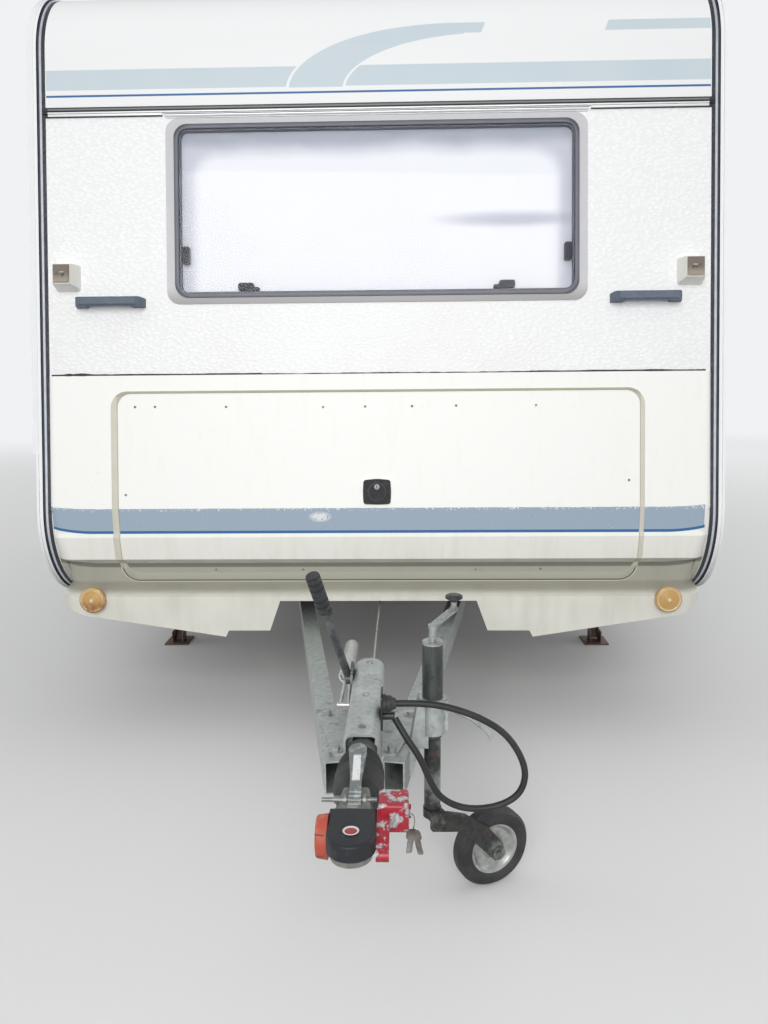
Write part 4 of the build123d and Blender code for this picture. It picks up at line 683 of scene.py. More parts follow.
cream = Finish("cream_gel_coat", roughness=0.42)
cream.set("Specular IOR Level", 0.35)
x, y, z = cream.axes()
beyond = (abs(x) - CORNER_START).most(0) / CORNER_RUN
lift = beyond * beyond * CORNER_LIFT
ends = abs(x + 0.01)
torn = z + cream.noise(26, 2.0) * 0.004
chips = cream.noise(170, 3.0, 0.6) * z.above(CHIPS_FROM, 0.018)
stripe_low = z - lift
stripe = torn.above(STRIPE[0] - 0.004, 0.0012) * stripe_low.above(STRIPE[0], 0.001)
stripe = stripe * (torn - lift * 0.5).below(STRIPE[1] + 0.002, 0.0012)
stripe = stripe * chips.below(0.6, 0.03) * ends.below(STRIPE_ENDS, 0.0015)
worn = ellipse(x, z, *WORN_SPOT).below(0.8, 0.35) * cream.noise(90, 4.0).above(0.42, 0.06)
pits = cream.noise(240, 2.0).above(0.735, 0.02)
film = stripe * (1 - worn * 0.75) * (1 - pits)
stripe_line = stripe_low.within(*STRIPE_LINE, 0.001) * ends.below(STRIPE_ENDS + 0.003, 0.001)
print("the moulding's stripe runs between", *STRIPE)

# %% [markdown]
# The lock in the lid's middle is a black plate with bulging sides and rounded corners, a round dish
# and a bright barrel with a key slot. A lighter ring round the dish's rim is a painted highlight. All
# of it is told apart on the plate by distance.

# %% Draw the lock
LOCK_PLATE = (0.0, 0.865, 0.0481, 0.0431, 0.011)
LOCK_DISH = (0.0, 0.865, 0.0302, 0.0302)
LOCK_BARREL = (0.0, 0.883, 0.0092, 0.0092)
KEY_SLOT = (0.0014, 0.0052)
LOCK_BULGE = 1.6

up = z - LOCK_PLATE[1]
swell = (x * x + up * up) * LOCK_BULGE
lock = (rounded_distance(x, z, *LOCK_PLATE) + swell).below(0.0031, 0.0006)
dish_rim_highlight = ellipse(x, z, *LOCK_DISH).within(0.93, 1.04, 0.03) * lock
barrel = ellipse(x, z, *LOCK_BARREL).below(1, 0.06)
key_slot = abs(x).below(KEY_SLOT[0], 0.0003) * abs(z - LOCK_BARREL[1]).below(KEY_SLOT[1], 0.0004)
print("the lock's plate is", 2 * LOCK_PLATE[2], "m wide")

# %% [markdown]
# The gel coat has yellowed a little. Below its fold, where the moulding turns down, it is painted
# darker and yellower as painted shade. Under the long crease the moulding turns away from the light,
# and painted shade darkens it more; the lip above the valance gets darker painted shade still, and
# the crease itself is a dark line of painted shade. Rain has left runs.

# %% Paint the moulding
CREAM = (0.90, 0.90, 0.865)
CREAM_LOW_SHADE = (0.80, 0.785, 0.70)
CREASE_SHADE = (0.593, 0.611)
LIP_SHADE = (0.508, 0.534)
VALANCE_TOP = 0.515
RUNS = (1, 1, 0.12)
STREAKS = (1, 1, 0.05)

lowness = z.below(0.70, 0.16)
rain = cream.noise(18, 4.0, 0.6, RUNS).above(0.58, 0.2) * lowness * 0.35
streaks = cream.noise(30, 4.0, 0.6, STREAKS).above(0.62, 0.1) * 0.10
under_fold_shade = z.above(LIP_SHADE[0], 0.006) * (z - lift).below(CREASE_SHADE[1], 0.004)
valance_dirt = z.below(VALANCE_TOP, 0.02) * cream.noise(7, 4.0).above(0.45, 0.25)
cream.colour(
    CREAM,
    # painted shade: the moulding is darker and yellower below its fold
    (lowness * 0.8, CREAM_LOW_SHADE),
    (streaks, (0.70, 0.68, 0.60)),
    (rain, (0.55, 0.53, 0.45)),
    # painted shade under the long crease
    (under_fold_shade * 0.72, (0.33, 0.32, 0.26)),
    # painted shade at the lip above the valance
    (z.within(*LIP_SHADE, 0.006) * 0.4, (0.25, 0.245, 0.20)),
    (valance_dirt * 0.35, (0.58, 0.58, 0.50)),
    (cream.wear(34, 0.10, 0.03) * 0.10, (0.55, 0.54, 0.48)),
    (film, SLATE_BLUE),
    (stripe_line, LINE_BLUE),
    # painted shade: the dark line of the crease
    ((z - lift * 1.2).within(*CREASE_SHADE, 0.003) * 0.85, (0.17, 0.17, 0.14)),
    (lock, (0.022, 0.022, 0.024)),
    (lock * cream.wear(60, 0.35, 0.1) * 0.3, (0.07, 0.07, 0.075)),
    # painted highlight: a lighter ring round the lock's dish
    (dish_rim_highlight * 0.8, (0.075, 0.075, 0.08)),
    (barrel, (0.40, 0.40, 0.41)),
    (barrel * key_slot, (0.03, 0.03, 0.03)),
)
cream.set("Roughness", 0.42 + lock * 0.25)
cream.grain(9, 0.0012, 0.15)
dress(cream, "locker_shell", "locker_lid")

# %% [markdown]
# ## Metals, rubbers and plastics
#
# The drawbar is hot dip galvanised: zinc grey, dull, with darker and lighter crystals and a little
# white bloom. Rubber and plastic parts are nearly black but never quite, and dust lightens them.
# Two functions make both kinds from a few numbers.

# %% Make the plain finishes
def galvanised(name, dark, light, roughness=0.5, rust=0.0):
    """Zinc with its patchwork of crystals, some bloom, road dirt and rust."""
    made = Finish(name, roughness=roughness, metallic=0.6)
    crystals = made.cells(70).above(0.5, 0.45) * 0.55 + made.noise(14, 4.0) * 0.25
    made.colour(
        dark,
        (crystals, light),
        (made.wear(9, 0.3, 0.1) * 0.55, (0.62, 0.65, 0.64)),
        (made.wear(24, 0.22, 0.05) * 0.6, (0.19, 0.18, 0.165)),
        (made.wear(30, 0.30, 0.08) * rust, (0.16, 0.075, 0.04)),
    )
    made.grain(220, 0.0006)
    return made


def dusty(name, tone, roughness, dust):
    """Rubber or moulded plastic, paler where dust lies in patches."""
    made = Finish(name, roughness=roughness)
    pale = tuple(min(1, v * 1.5 + 0.06) for v in tone)
    made.colour(tone, (made.wear(16, 0.45, 0.15) * dust, pale))
    return made


def polymer(name, tone, roughness, dust):
    """Dusty rubber or plastic with the fine grain of a mould."""
    made = dusty(name, tone, roughness, dust)
    made.grain(700, 0.0003, 0.5)
    return made


zinc_dull = galvanised("galvanised_dull", (0.16, 0.165, 0.16), (0.27, 0.275, 0.27), 0.6, 0.5)
# the jockey stem and fork are painted very dark: partly grime, partly painted shade
shaded_wheel_zinc = galvanised("grimy_zinc", (0.030, 0.032, 0.031), (0.078, 0.081, 0.078), 0.5, 0.25)
cast_steel = galvanised("cast_steel", (0.17, 0.175, 0.16), (0.31, 0.32, 0.30), 0.45, 0.25)
bare_steel = galvanised("bare_steel", (0.42, 0.43, 0.42), (0.66, 0.67, 0.66), 0.3, 0.1)
rim_zinc = galvanised("jockey_rim_zinc", (0.34, 0.35, 0.34), (0.52, 0.53, 0.51), 0.35, 0.2)
zinc = galvanised("galvanised_steel", (0.36, 0.39, 0.38), (0.54, 0.57, 0.555))
black_rubber = polymer("black_rubber", (0.011, 0.011, 0.013), 0.55, 0.2)
tyre_black = polymer("jockey_tyre_rubber", (0.018, 0.018, 0.019), 0.55, 0.35)
black_plastic = polymer("black_plastic", (0.015, 0.016, 0.019), 0.42, 0.15)
slate_plastic = polymer("slate_plastic", (0.085, 0.112, 0.155), 0.5, 0.25)
white_trim = polymer("white_trim", (0.80, 0.81, 0.81), 0.35, 0.1)
board = polymer("floor_board", (0.085, 0.075, 0.065), 0.8, 0.4)
inner_board = polymer("inner_panel", (0.62, 0.58, 0.50), 0.6, 0.2)

dress(zinc, "drawbar_rails", "overrun_housing", "jockey_clamp")
dress(shaded_wheel_zinc, "jockey_stem", "jockey_fork")
dress(zinc_dull, "chassis_frame", "axle_beam", "steady_brackets")
dress(cast_steel, "coupling_head")
dress(bare_steel, "brake_linkage")
dress(rim_zinc, "jockey_rim")
dress(black_rubber, "bellows")
dress(tyre_black, "jockey_tyre")
dress(black_plastic, "plug_holder", "door_handle")
dress(slate_plastic, "grab_handles")
dress(white_trim, "awning_rail", "roof_fittings")
dress(board, "floor")
dress(inner_board, "inner_panels")
tow_lead.data.materials.append(black_rubber.material)

# %% [markdown]
# Two plastics need more than a tone. The caps of the friction pads are faded orange with dark
# slots moulded in their left face, and the sheet round the window is grey, darker along its foot
# where water stands.

# %% Finish the friction caps and the window surround
CAP_SLOTS = (0.0185, 0.0205)
CAP_MIDDLE_Z = 0.474
CAP_FACE_X = -0.047
SURROUND_FOOT = 1.53

orange_plastic = Finish("orange_plastic", roughness=0.5)
x, y, z = orange_plastic.axes()
cap_slots = abs(z - CAP_MIDDLE_Z).within(*CAP_SLOTS, 0.0004) * x.below(CAP_FACE_X, 0.001)
orange_plastic.colour(
    (0.42, 0.070, 0.040),
    (orange_plastic.wear(40, 0.35, 0.1) * 0.5, (0.60, 0.17, 0.12)),
    (cap_slots, (0.10, 0.012, 0.008)),
)
orange_plastic.grain(700, 0.0003, 0.5)
dress(orange_plastic, "friction_caps")

surround_sheet = Finish("surround_sheet", roughness=0.4)
x, y, z = surround_sheet.axes()
surround_sheet.colour(
    (0.55, 0.545, 0.56),
    (surround_sheet.wear(16, 0.45, 0.15) * 0.2, (0.68, 0.67, 0.67)),
    (z.below(SURROUND_FOOT, 0.03) * 0.9, (0.31, 0.30, 0.30)),
)
surround_sheet.grain(300, 0.0003)
dress(surround_sheet, "window_surrounds")

# %% [markdown]
# The jockey wheel's outer tube has a worn, pale rim where the crank enters it, and the crank ends
# in a black knob. Both are told apart from the zinc by height alone.

# %% Finish the jockey tube and its crank
TUBE_TOP = 0.6505
KNOB_FOOT = 0.732

tube_zinc = Finish("tube_zinc", roughness=0.42, metallic=0.5)
x, y, z = tube_zinc.axes()
tube_runs = tube_zinc.noise(30, 4.0, 0.6, (1, 1, 0.25)).above(0.48, 0.15)
tube_zinc.colour(
    (0.046, 0.055, 0.053),
    (tube_runs * 0.7, (0.110, 0.125, 0.118)),
    (tube_zinc.wear(40, 0.35, 0.05) * 0.5, (0.035, 0.036, 0.034)),
    (z.above(TUBE_TOP, 0.0003), (0.50, 0.47, 0.40)),
)
tube_zinc.grain(220, 0.0005)
dress(tube_zinc, "jockey_outer_tube")

crank_zinc = Finish("crank_zinc", roughness=0.45)
x, y, z = crank_zinc.axes()
knob = z.above(KNOB_FOOT, 0.001)
crank_zinc.colour(
    (0.30, 0.32, 0.31),
    (crank_zinc.cells(90).above(0.5, 0.4) * 0.6, (0.46, 0.48, 0.47)),
    (crank_zinc.wear(30, 0.3, 0.06) * 0.6, (0.17, 0.16, 0.15)),
    (knob, (0.020, 0.020, 0.022)),
    (knob * crank_zinc.wear(50, 0.35, 0.1) * 0.3, (0.10, 0.10, 0.10)),
)
crank_zinc.set("Metallic", (1 - knob) * 0.6)
crank_zinc.grain(220, 0.0004)
dress(crank_zinc, "jockey_crank")

# %% [markdown]
# ## Edge trims
#
# A caravan's corners are closed by aluminium mouldings with a rubber insert. From the front one
# shows, going outward, as dark, silver, dark and white. All four belong to one solid, so the finish
# reads how far out the surface point is and gives the metal and the rubber their own gloss.

# %% Finish the edge trims
SILVER_STRIP = (1.1338, 1.1415)
WHITE_START = 1.1492

edge_trim = Finish("edge_trim")
x, y, z = edge_trim.axes()
ridge = abs(x).within(*SILVER_STRIP, 0.0003)
dull = edge_trim.noise(30, 4.0).above(0.5, 0.2)
edge_trim.colour(
    TRIM_BLACK,
    (edge_trim.wear(12, 0.4, 0.15) * 0.25, (0.12, 0.12, 0.13)),
    (ridge, (0.60, 0.64, 0.71)),
    (abs(x).above(WHITE_START, 0.0003), (0.84, 0.85, 0.86)),
    (ridge * dull * 0.35, (0.36, 0.38, 0.42)),
)
edge_trim.set("Metallic", ridge * 0.5)
edge_trim.set("Roughness", 0.5 - ridge * 0.18)
dress(edge_trim, "corner_trims")

# %% [markdown]
# ## Seam rails
#
# An aluminium rail covers the seam between the roof's sheet and the front wall. Its upper half holds
# a black rubber insert with a dull line along its middle, and its lower half is bare. The rail that
# the window hangs on sits close under it. Dark lines of rubber and painted shade part the two, and a
# dark line of painted shadow runs along the foot of the lower rail. So the finish is a stack of bands
# by height, and the rail's ends have black caps.

# %% Finish the seam rails
RAIL_SILVER = (0.80, 0.81, 0.82)
CAP_BLACK = (0.022, 0.023, 0.026)
INSERT = (2.1425, 2.1600)
INSERT_LINE = (2.1485, 2.1535)
RAIL_GAP = (2.1285, 2.1312)
RAIL_FOOT_SHADOW = 2.1185
RAIL_CAPS = 1.112

rail_metal = Finish("rail_aluminium", roughness=0.35)
x, y, z = rail_metal.axes()
insert = z.within(*INSERT, 0.0006)
caps = abs(x).above(RAIL_CAPS, 0.0005)
rail_metal.colour(
    RAIL_SILVER,
    (rail_metal.noise(40, 4.0).above(0.55, 0.2) * 0.3, (0.62, 0.63, 0.64)),
    (insert, (0.030, 0.034, 0.034)),
    (z.within(*INSERT_LINE, 0.0010) * 0.85, (0.22, 0.23, 0.225)),
    # dark line between the rails: rubber and painted shade
    (z.within(*RAIL_GAP, 0.0006), (0.05, 0.052, 0.055)),
    # painted shadow along the lower rail's foot
    (z.below(RAIL_FOOT_SHADOW, 0.0006), (0.07, 0.07, 0.085)),
    (caps, CAP_BLACK),
)
rail_metal.set("Metallic", (1 - insert.most(caps)) * 0.35)
dress(rail_metal, "seam_rails")

# %% [markdown]
# The bare lower half of the seam rail runs on to the body's corners beyond the window's rail. It is
# a flat bar on each side: a box with its long front edges beveled round, laid on the leaning wall,
# with a thin dark line of shade along its foot.

# %% Add the seam rail's lower strips
STRIP_X = (0.722, 1.122)
STRIP_Z = (2.1255, 2.1378)
STRIP_PROUD = 0.009
STRIP_SUNK = 0.002
STRIP_ROUND = 0.0035
STRIP_LINE = (2.1300, 2.1325)
STRIP_FOOT = 2.1292

strip_metal = Finish("strip_aluminium", roughness=0.35, metallic=0.3)
x, y, z = strip_metal.axes()
strip_metal.colour(
    RAIL_SILVER,
    (z.within(*STRIP_LINE, 0.0006) * 0.6, (0.45, 0.46, 0.46)),
    (z.below(STRIP_FOOT, 0.0008), (0.05, 0.052, 0.052)),
    (abs(x).above(RAIL_CAPS, 0.0005), CAP_BLACK),
)

strip_middle = (STRIP_Z[0] + STRIP_Z[1]) / 2
for side, name in SIDES:
    bpy.ops.mesh.primitive_cube_add(size=1)
    bar = bpy.context.object
    bar.scale = (STRIP_X[1] - STRIP_X[0], STRIP_PROUD, STRIP_Z[1] - STRIP_Z[0])
    bake(size=True)
    edit()
    choose_edges(lambda middle, run: abs(run.x) > 0.9 and middle.y < 0)
    bpy.ops.mesh.bevel(offset=STRIP_ROUND, segments=4, affect="EDGES")
    leave_edit()
    depth = front_y(strip_middle) - STRIP_PROUD / 2 + STRIP_SUNK
    bar.location = (side * (STRIP_X[0] + STRIP_X[1]) / 2, depth, strip_middle)
    complete("seam_strip_" + name, strip_metal)

# %% [markdown]
# ## Window rubber
#
# The panes are held by a dark rubber ring. A pale line along it is a painted highlight on the
# rubber's lip, and both edges of the ring are painted darker as painted shade. The line runs at one
# distance inside the ring's outer edge, round the corners too, so the finish measures that distance
# with the formula for a rounded rectangle.

# %% Finish the window rubber
SEAL_HIGHLIGHT = (-0.0105, -0.0075)
RING_EDGES = (-0.0165, -0.0022)
RUBBER_SHADE = (0.045, 0.047, 0.060)

window_rubber = Finish("window_rubber", roughness=0.45)
x, y, z = window_rubber.axes()
rim = rounded_distance(x, z, *FRONT_WINDOW)
not_sides = abs(x).below(1.1, 0.01)
window_rubber.colour(
    (0.110, 0.112, 0.140),
    (window_rubber.wear(14, 0.4, 0.15) * 0.3, (0.17, 0.17, 0.20)),
    # painted highlight along the rubber's lip
    (rim.within(*SEAL_HIGHLIGHT, 0.0004) * not_sides * 0.45, (0.24, 0.25, 0.30)),
    # painted shade along both edges of the ring
    (rim.above(RING_EDGES[1], 0.0005) * not_sides * 0.8, RUBBER_SHADE),
    (rim.below(RING_EDGES[0], 0.0006) * not_sides * 0.8, RUBBER_SHADE),
)
window_rubber.grain(500, 0.0003)
dress(window_rubber, "window_seals")

# %% [markdown]
# ## Glass and blinds
#
# The windows are acrylic panes with a faint grey tint. Behind them white pleated blinds are closed,
# so almost all that the camera sees through a pane is the blind. A pane is a Principled shader with
# full transmission. The blind is painted a lilac grey near its top and sides as painted shade from
# the frame, and one soft grey band across it is a painted reflection of the glass.

# %% Glaze the windows
BLIND_SHADE = (0.0, 1.765, 0.640, 0.282, 0.11)
BLIND_TOP = 2.058
REFLECTION_OVAL = (0.47, 1.780, 0.30, 0.030)
PLEATS = 330

pane_glass = Finish("acrylic_pane", roughness=0.03)
pane_glass.set("Base Color", (0.965, 0.97, 0.985))
pane_glass.set("Transmission Weight", 1.0)
pane_glass.set("IOR", 1.15)
dress(pane_glass, "window_panes", "door_window")

blind_cloth = Finish("white_blind", roughness=0.8)
x, y, z = blind_cloth.axes()
cloud = blind_cloth.noise(4.5, 3.0) * 0.05
shade = rounded_distance(x, z + cloud, *BLIND_SHADE).above(-0.018, 0.030)
reflected_streak = ellipse(x, z + cloud * 0.3, *REFLECTION_OVAL).below(0.7, 0.5) * x.above(0.18, 0.06)
pleats = (z * PLEATS).sine() * 0.5 + 0.5
blind_cloth.colour(
    (0.90, 0.90, 0.925),
    (blind_cloth.noise(3.0, 3.0).above(0.55, 0.2) * 0.12, (0.82, 0.81, 0.88)),
    (pleats * 0.03, (0.66, 0.66, 0.72)),
    # painted reflection of the glass across the blind
    (reflected_streak * 0.75, (0.44, 0.45, 0.54)),
    # painted shade from the frame at the blind's top and sides
    (shade * abs(x).below(1.0, 0.01) * 0.50, (0.33, 0.35, 0.42)),
    # painted shade at the blind's top
    ((z + cloud).above(BLIND_TOP, 0.022) * 0.55, (0.27, 0.30, 0.37)),
)
dress(blind_cloth, "blinds")

# %% [markdown]
# ## Front lamps
#
# Each upper corner has a cream lamp housing with a smoked lens, and low on the valance sits a round
# amber reflector with moulded rings. A finish tells these apart by place: the housing's lens by its
# distance from the lamp's middle, the reflector's rings by a sine wave over the radius. A pale oval
# in the lens's middle is a painted highlight.

# %% Finish the front lamps
LENS = (1.052, 1.599)
LENS_HALF = (0.0285, 0.0312)
LENS_FRONT = -1.455
ROUND_LAMP = (0.995, 0.491, 0.045, 0.045)
STAIN_TOP = 0.482
RINGS = 44
LENS_HIGHLIGHT = (-0.002, 0.006, 0.012, 0.0035)
FILAMENT = (0.002, 0.0, 0.022, 0.013)

front_lamp = Finish("front_lamp", roughness=0.3)
front_lamp.set("Coat Weight", 0.6)
x, y, z = front_lamp.axes()
beside, above = abs(x) - LENS[0], z - LENS[1]
lens = abs(beside).below(LENS_HALF[0], 0.0006) * abs(above).below(LENS_HALF[1], 0.0006)
lens = lens * y.below(LENS_FRONT, 0.002)
lens_highlight = ellipse(beside, above, *LENS_HIGHLIGHT).below(0.6, 0.45)
filament = ellipse(beside, above, *FILAMENT).below(0.8, 0.3)
filament = filament * front_lamp.noise(150, 3.0).above(0.52, 0.06)
round_lamp = z.below(0.8, 0.05)
reach = ellipse(abs(x), z, *ROUND_LAMP)
rings = (reach * RINGS).sine()
stain = front_lamp.noise(60, 4.0).above(0.45, 0.15) * z.below(STAIN_TOP, 0.02) * x.below(0, 0.1)
front_lamp.colour(
    (0.84, 0.83, 0.77),
    (front_lamp.wear(40, 0.2, 0.1) * 0.3, (0.62, 0.60, 0.52)),
    (lens, (0.17, 0.135, 0.11)),
    (lens * above.below(-0.012, 0.02) * 0.8, (0.42, 0.37, 0.29)),
    (lens * filament * 0.8, (0.035, 0.028, 0.02)),
    # painted highlight in the lens's middle
    (lens * lens_highlight * 0.7, (0.62, 0.58, 0.50)),
    (round_lamp, (0.54, 0.31, 0.085)),
    (round_lamp * rings.above(0.3, 0.5) * 0.18, (0.80, 0.62, 0.32)),
    (round_lamp * reach.within(0.80, 0.90, 0.03) * 0.7, (0.85, 0.76, 0.55)),
    (round_lamp * stain * 0.85, (0.30, 0.095, 0.025)),
    (round_lamp * reach.below(0.14, 0.04), (0.80, 0.66, 0.40)),
)
front_lamp.bump(rings * round_lamp, 0.0008, 0.6)
dress(front_lamp, "front_lamps")

# %% [markdown]
# ## Rear lamps
#
# A rear cluster has three lenses over each other, amber, red and clear, on a black base. Fine
# upright ribs in the lens scatter its light, and a sine wave over X gives them.

# %% Finish the rear lamps
AMBER_FROM = 0.797
CLEAR_TO = 0.723
LAMP_BASE_Y = 2.995
LENS_RIBS = 900

rear_lamp = Finish("rear_lamp", roughness=0.22)
rear_lamp.set("Coat Weight", 0.7)
x, y, z = rear_lamp.axes()
rear_lamp.colour(
    (0.42, 0.015, 0.015),
    (z.above(AMBER_FROM, 0.001), (0.72, 0.26, 0.03)),
    (z.below(CLEAR_TO, 0.001), (0.72, 0.72, 0.70)),
    (y.below(LAMP_BASE_Y, 0.001), (0.05, 0.05, 0.055)),
    (rear_lamp.wear(18, 0.3, 0.1) * 0.2, (0.45, 0.40, 0.34)),
)
rear_lamp.bump((x * LENS_RIBS).sine(), 0.0006, 0.5)
dress(rear_lamp, "rear_lamps")

# %% [markdown]
# ## Coupling finishes
#
# The coupling is where hands, rain and road dirt meet. The cover over the ball cup is black rubber
# with a white ring and a red wear button on its flat top. The handle is grey cast metal rubbed
# bright on its edges, and carries a blank white strip that has begun to tear.

# %% Finish the cover and the handle
BUTTON_Y = -2.9735
BUTTON_TOP = 0.5068
STICKER = (0.520, 0.5405)

dock_rubber = Finish("cover_rubber", roughness=0.48)
dock_rubber.set("Specular IOR Level", 0.35)
x, y, z = dock_rubber.axes()
reach = ellipse(x, y, 0.0, BUTTON_Y, 1.0, 1.0)
on_top = z.above(BUTTON_TOP, 0.0002)
dock_rubber.colour(
    (0.017, 0.018, 0.022),
    (dock_rubber.wear(45, 0.22, 0.05) * 0.30, (0.09, 0.09, 0.10)),
    (on_top * reach.within(0.0104, 0.0140, 0.0004), (0.66, 0.62, 0.62)),
    (on_top * reach.below(0.0094, 0.0004), (0.36, 0.045, 0.045)),
)
dock_rubber.grain(260, 0.0005, detail=3.0)
dress(dock_rubber, "soft_dock")

handle_metal = Finish("handle_metal", roughness=0.42, metallic=0.35)
x, y, z = handle_metal.axes()
sticker = z.within(*STICKER, 0.001) * abs(x).below(0.0072, 0.0006)
handle_metal.colour(
    (0.185, 0.200, 0.200),
    (handle_metal.wear(50, 0.35, 0.06) * 0.6, (0.45, 0.47, 0.46)),
    (handle_metal.wear(90, 0.15, 0.03) * 0.6, (0.06, 0.06, 0.06)),
    (sticker * handle_metal.noise(150, 4.0).above(0.36, 0.04), (0.78, 0.79, 0.78)),
)
handle_metal.grain(300, 0.0004)
dress(handle_metal, "coupling_handle")

# %% [markdown]
# The lock on the coupling is red enamel chipped down to grey metal, so the chips also lie a little
# lower in the relief. The brake lever is a worn steel bar that ends in a black grip, and the parked
# plug is black with fine flutes for the fingers.

# %% Finish the lock, the brake lever and the plug
GRIP_Z = 0.697
FLUTES = 1500

red_enamel = Finish("chipped_red_enamel", roughness=0.35)
bare = red_enamel.wear(42, 0.40, 0.02)
red_enamel.colour(
    (0.36, 0.014, 0.028),
    (red_enamel.noise(120, 3.0).above(0.55, 0.1) * 0.5, (0.19, 0.010, 0.018)),
    (bare, (0.27, 0.26, 0.265)),
    (bare * red_enamel.noise(200, 3.0).above(0.5, 0.1), (0.50, 0.48, 0.49)),
    (red_enamel.wear(140, 0.1, 0.02) * 0.6, (0.66, 0.60, 0.60)),
)
red_enamel.bump(1 - bare, 0.0005, 0.6)
dress(red_enamel, "hitch_lock")

brake_lever = Finish("brake_lever", roughness=0.5)
x, y, z = brake_lever.axes()
grip = z.above(GRIP_Z, 0.001)
brake_lever.colour(
    (0.075, 0.080, 0.085),
    (brake_lever.cells(70).above(0.5, 0.4) * 0.4, (0.20, 0.21, 0.215)),
    (brake_lever.wear(20, 0.3, 0.1) * 0.5, (0.30, 0.31, 0.30)),
    (grip, (0.028, 0.029, 0.032)),
    (grip * brake_lever.wear(30, 0.3, 0.1) * 0.3, (0.14, 0.14, 0.145)),
)
brake_lever.set("Metallic", (1 - grip) * 0.6)
brake_lever.grain(300, 0.0004)
dress(brake_lever, "handbrake_lever")

plug_black = dusty("plug_black", (0.026, 0.026, 0.028), 0.45, 0.25)
x, y, z = plug_black.axes()
plug_black.bump((x * FLUTES).sine(), 0.0006, 0.6)
dress(plug_black, "tow_plug")

# %% [markdown]
# ## Wheels and steadies
#
# The steel wheels are silver, dull with brake dust between the hub and the rim's edge. The steadies
# are dull steel, and their feet stand in the wet and have rusted brown.

# %% Finish the wheels and the steadies
FOOT_TOP = 0.045
RIM_RADIUS = 0.168

rim_paint = Finish("silver_rim", roughness=0.4)
x, y, z = rim_paint.axes()
dust = ellipse(y, z, AXLE_Y, HUB_Z, RIM_RADIUS, RIM_RADIUS).within(0.2, 0.75, 0.2)
rim_paint.colour(
    (0.52, 0.53, 0.54),
    (dust * rim_paint.noise(20, 4.0).above(0.4, 0.2) * 0.6, (0.24, 0.20, 0.17)),
    (rim_paint.wear(60, 0.12, 0.03) * 0.7, (0.18, 0.10, 0.06)),
)
rim_paint.grain(700, 0.0003, 0.5)
dress(rim_paint, "road_wheel_left", "road_wheel_right")

steady_steel = Finish("steady_steel", roughness=0.6, metallic=0.4)
x, y, z = steady_steel.axes()
steady_steel.colour(
    (0.17, 0.175, 0.17),
    (steady_steel.cells(60).above(0.5, 0.4) * 0.4, (0.27, 0.275, 0.27)),
    (steady_steel.wear(22, 0.45, 0.1) * 0.5, (0.13, 0.07, 0.045)),
    (z.below(FOOT_TOP, 0.01) * 0.85, (0.13, 0.072, 0.052)),
)
steady_steel.grain(200, 0.0008, 0.5, 3.0)
for corner in ("front_left", "front_right", "rear_left", "rear_right"):
    dress(steady_steel, "steady_leg_" + corner, "steady_strut_" + corner)

# %% [markdown]
# ## Side fittings and hatch
#
# Grilles, flaps and inlets are a slightly yellowed white plastic. The wheel boxes' lips and the
# rear number plate's base belong to the same solid and are black, so a place along the body tells
# them apart. The roof hatch is a milky plastic that has dulled.

# %% Finish the side fittings and the hatch
PLATE_Y = 2.96
LIP_REACH = 0.44

service_plastic = Finish("service_plastic", roughness=0.42)
x, y, z = service_plastic.axes()
lips = 1 - abs(y - AXLE_Y).least(0.45).above(LIP_REACH, 0.003)
service_plastic.colour(
    (0.74, 0.74, 0.70),
    (service_plastic.wear(10, 0.4, 0.15) * 0.2, (0.50, 0.49, 0.44)),
    (y.above(PLATE_Y, 0.004), (0.05, 0.05, 0.055)),
    (lips, (0.045, 0.045, 0.05)),
)
service_plastic.grain(700, 0.0003, 0.5)
dress(service_plastic, "side_fittings")

hatch_plastic = Finish("hatch_plastic", roughness=0.25)
hatch_wear = hatch_plastic.wear(8, 0.4, 0.15) * 0.35
hatch_plastic.colour((0.72, 0.73, 0.72), (hatch_wear, (0.52, 0.52, 0.46)))
hatch_plastic.set("Alpha", 0.97)
dress(hatch_plastic, "roof_hatch")

# %% [markdown]
# ## The lid's edging
#
# The locker lid carries a beige rubber edging that laps over the gap round it and shows as a frame:
# wide at the sides, narrow along the top. Painted shade darkens its top run and a thin line along the
# inner edge of its sides. Below, only its outer bead is pale, with a dark groove beside it, and the
# rest is painted in the tone of the moulding's painted shade under its crease. The bead follows the
# round corners, so it is measured from the frame's outer edge.

# %% Colour the edging
EDGING_LEFT = -0.9095
EDGING_RIGHT = 0.9025
EDGING_LOW = 0.532
EDGING_HIGH = 1.2080
EDGING_ROUND = 0.056
EDGING_FOOT = 0.592
INNER_SHADE = 0.8885
TOP_SHADE = 1.190
BEAD = 0.0048
GROOVE = 0.0050

edging_x = (EDGING_LEFT + EDGING_RIGHT) / 2
edging_z = (EDGING_LOW + EDGING_HIGH) / 2
half_long = (EDGING_RIGHT - EDGING_LEFT) / 2
half_high = (EDGING_HIGH - EDGING_LOW) / 2
edging_rubber = Finish("beige_edging", roughness=0.6)
x, y, z = edging_rubber.axes()
from_edge = rounded_distance(x, z, edging_x, edging_z, half_long, half_high, EDGING_ROUND)
foot = z.below(EDGING_FOOT, 0.012)
edging_rubber.colour(
    (0.60, 0.575, 0.485),
    (edging_rubber.wear(16, 0.45, 0.15) * 0.25, (0.74, 0.72, 0.64)),
    # painted shade along the inner edge of the side runs
    (abs(x).below(INNER_SHADE, 0.0006) * 0.6, (0.40, 0.38, 0.30)),
    # painted shade along the top run
    (z.above(TOP_SHADE, 0.004), (0.40, 0.375, 0.28)),
    # painted shade: the foot takes the moulding's shaded tone
    (foot, (0.46, 0.452, 0.385)),
    (foot * from_edge.above(-BEAD - GROOVE, 0.0006), (0.12, 0.115, 0.09)),
    (foot * from_edge.above(-BEAD, 0.0006), (0.74, 0.72, 0.63)),
)
edging_rubber.grain(500, 0.0003)
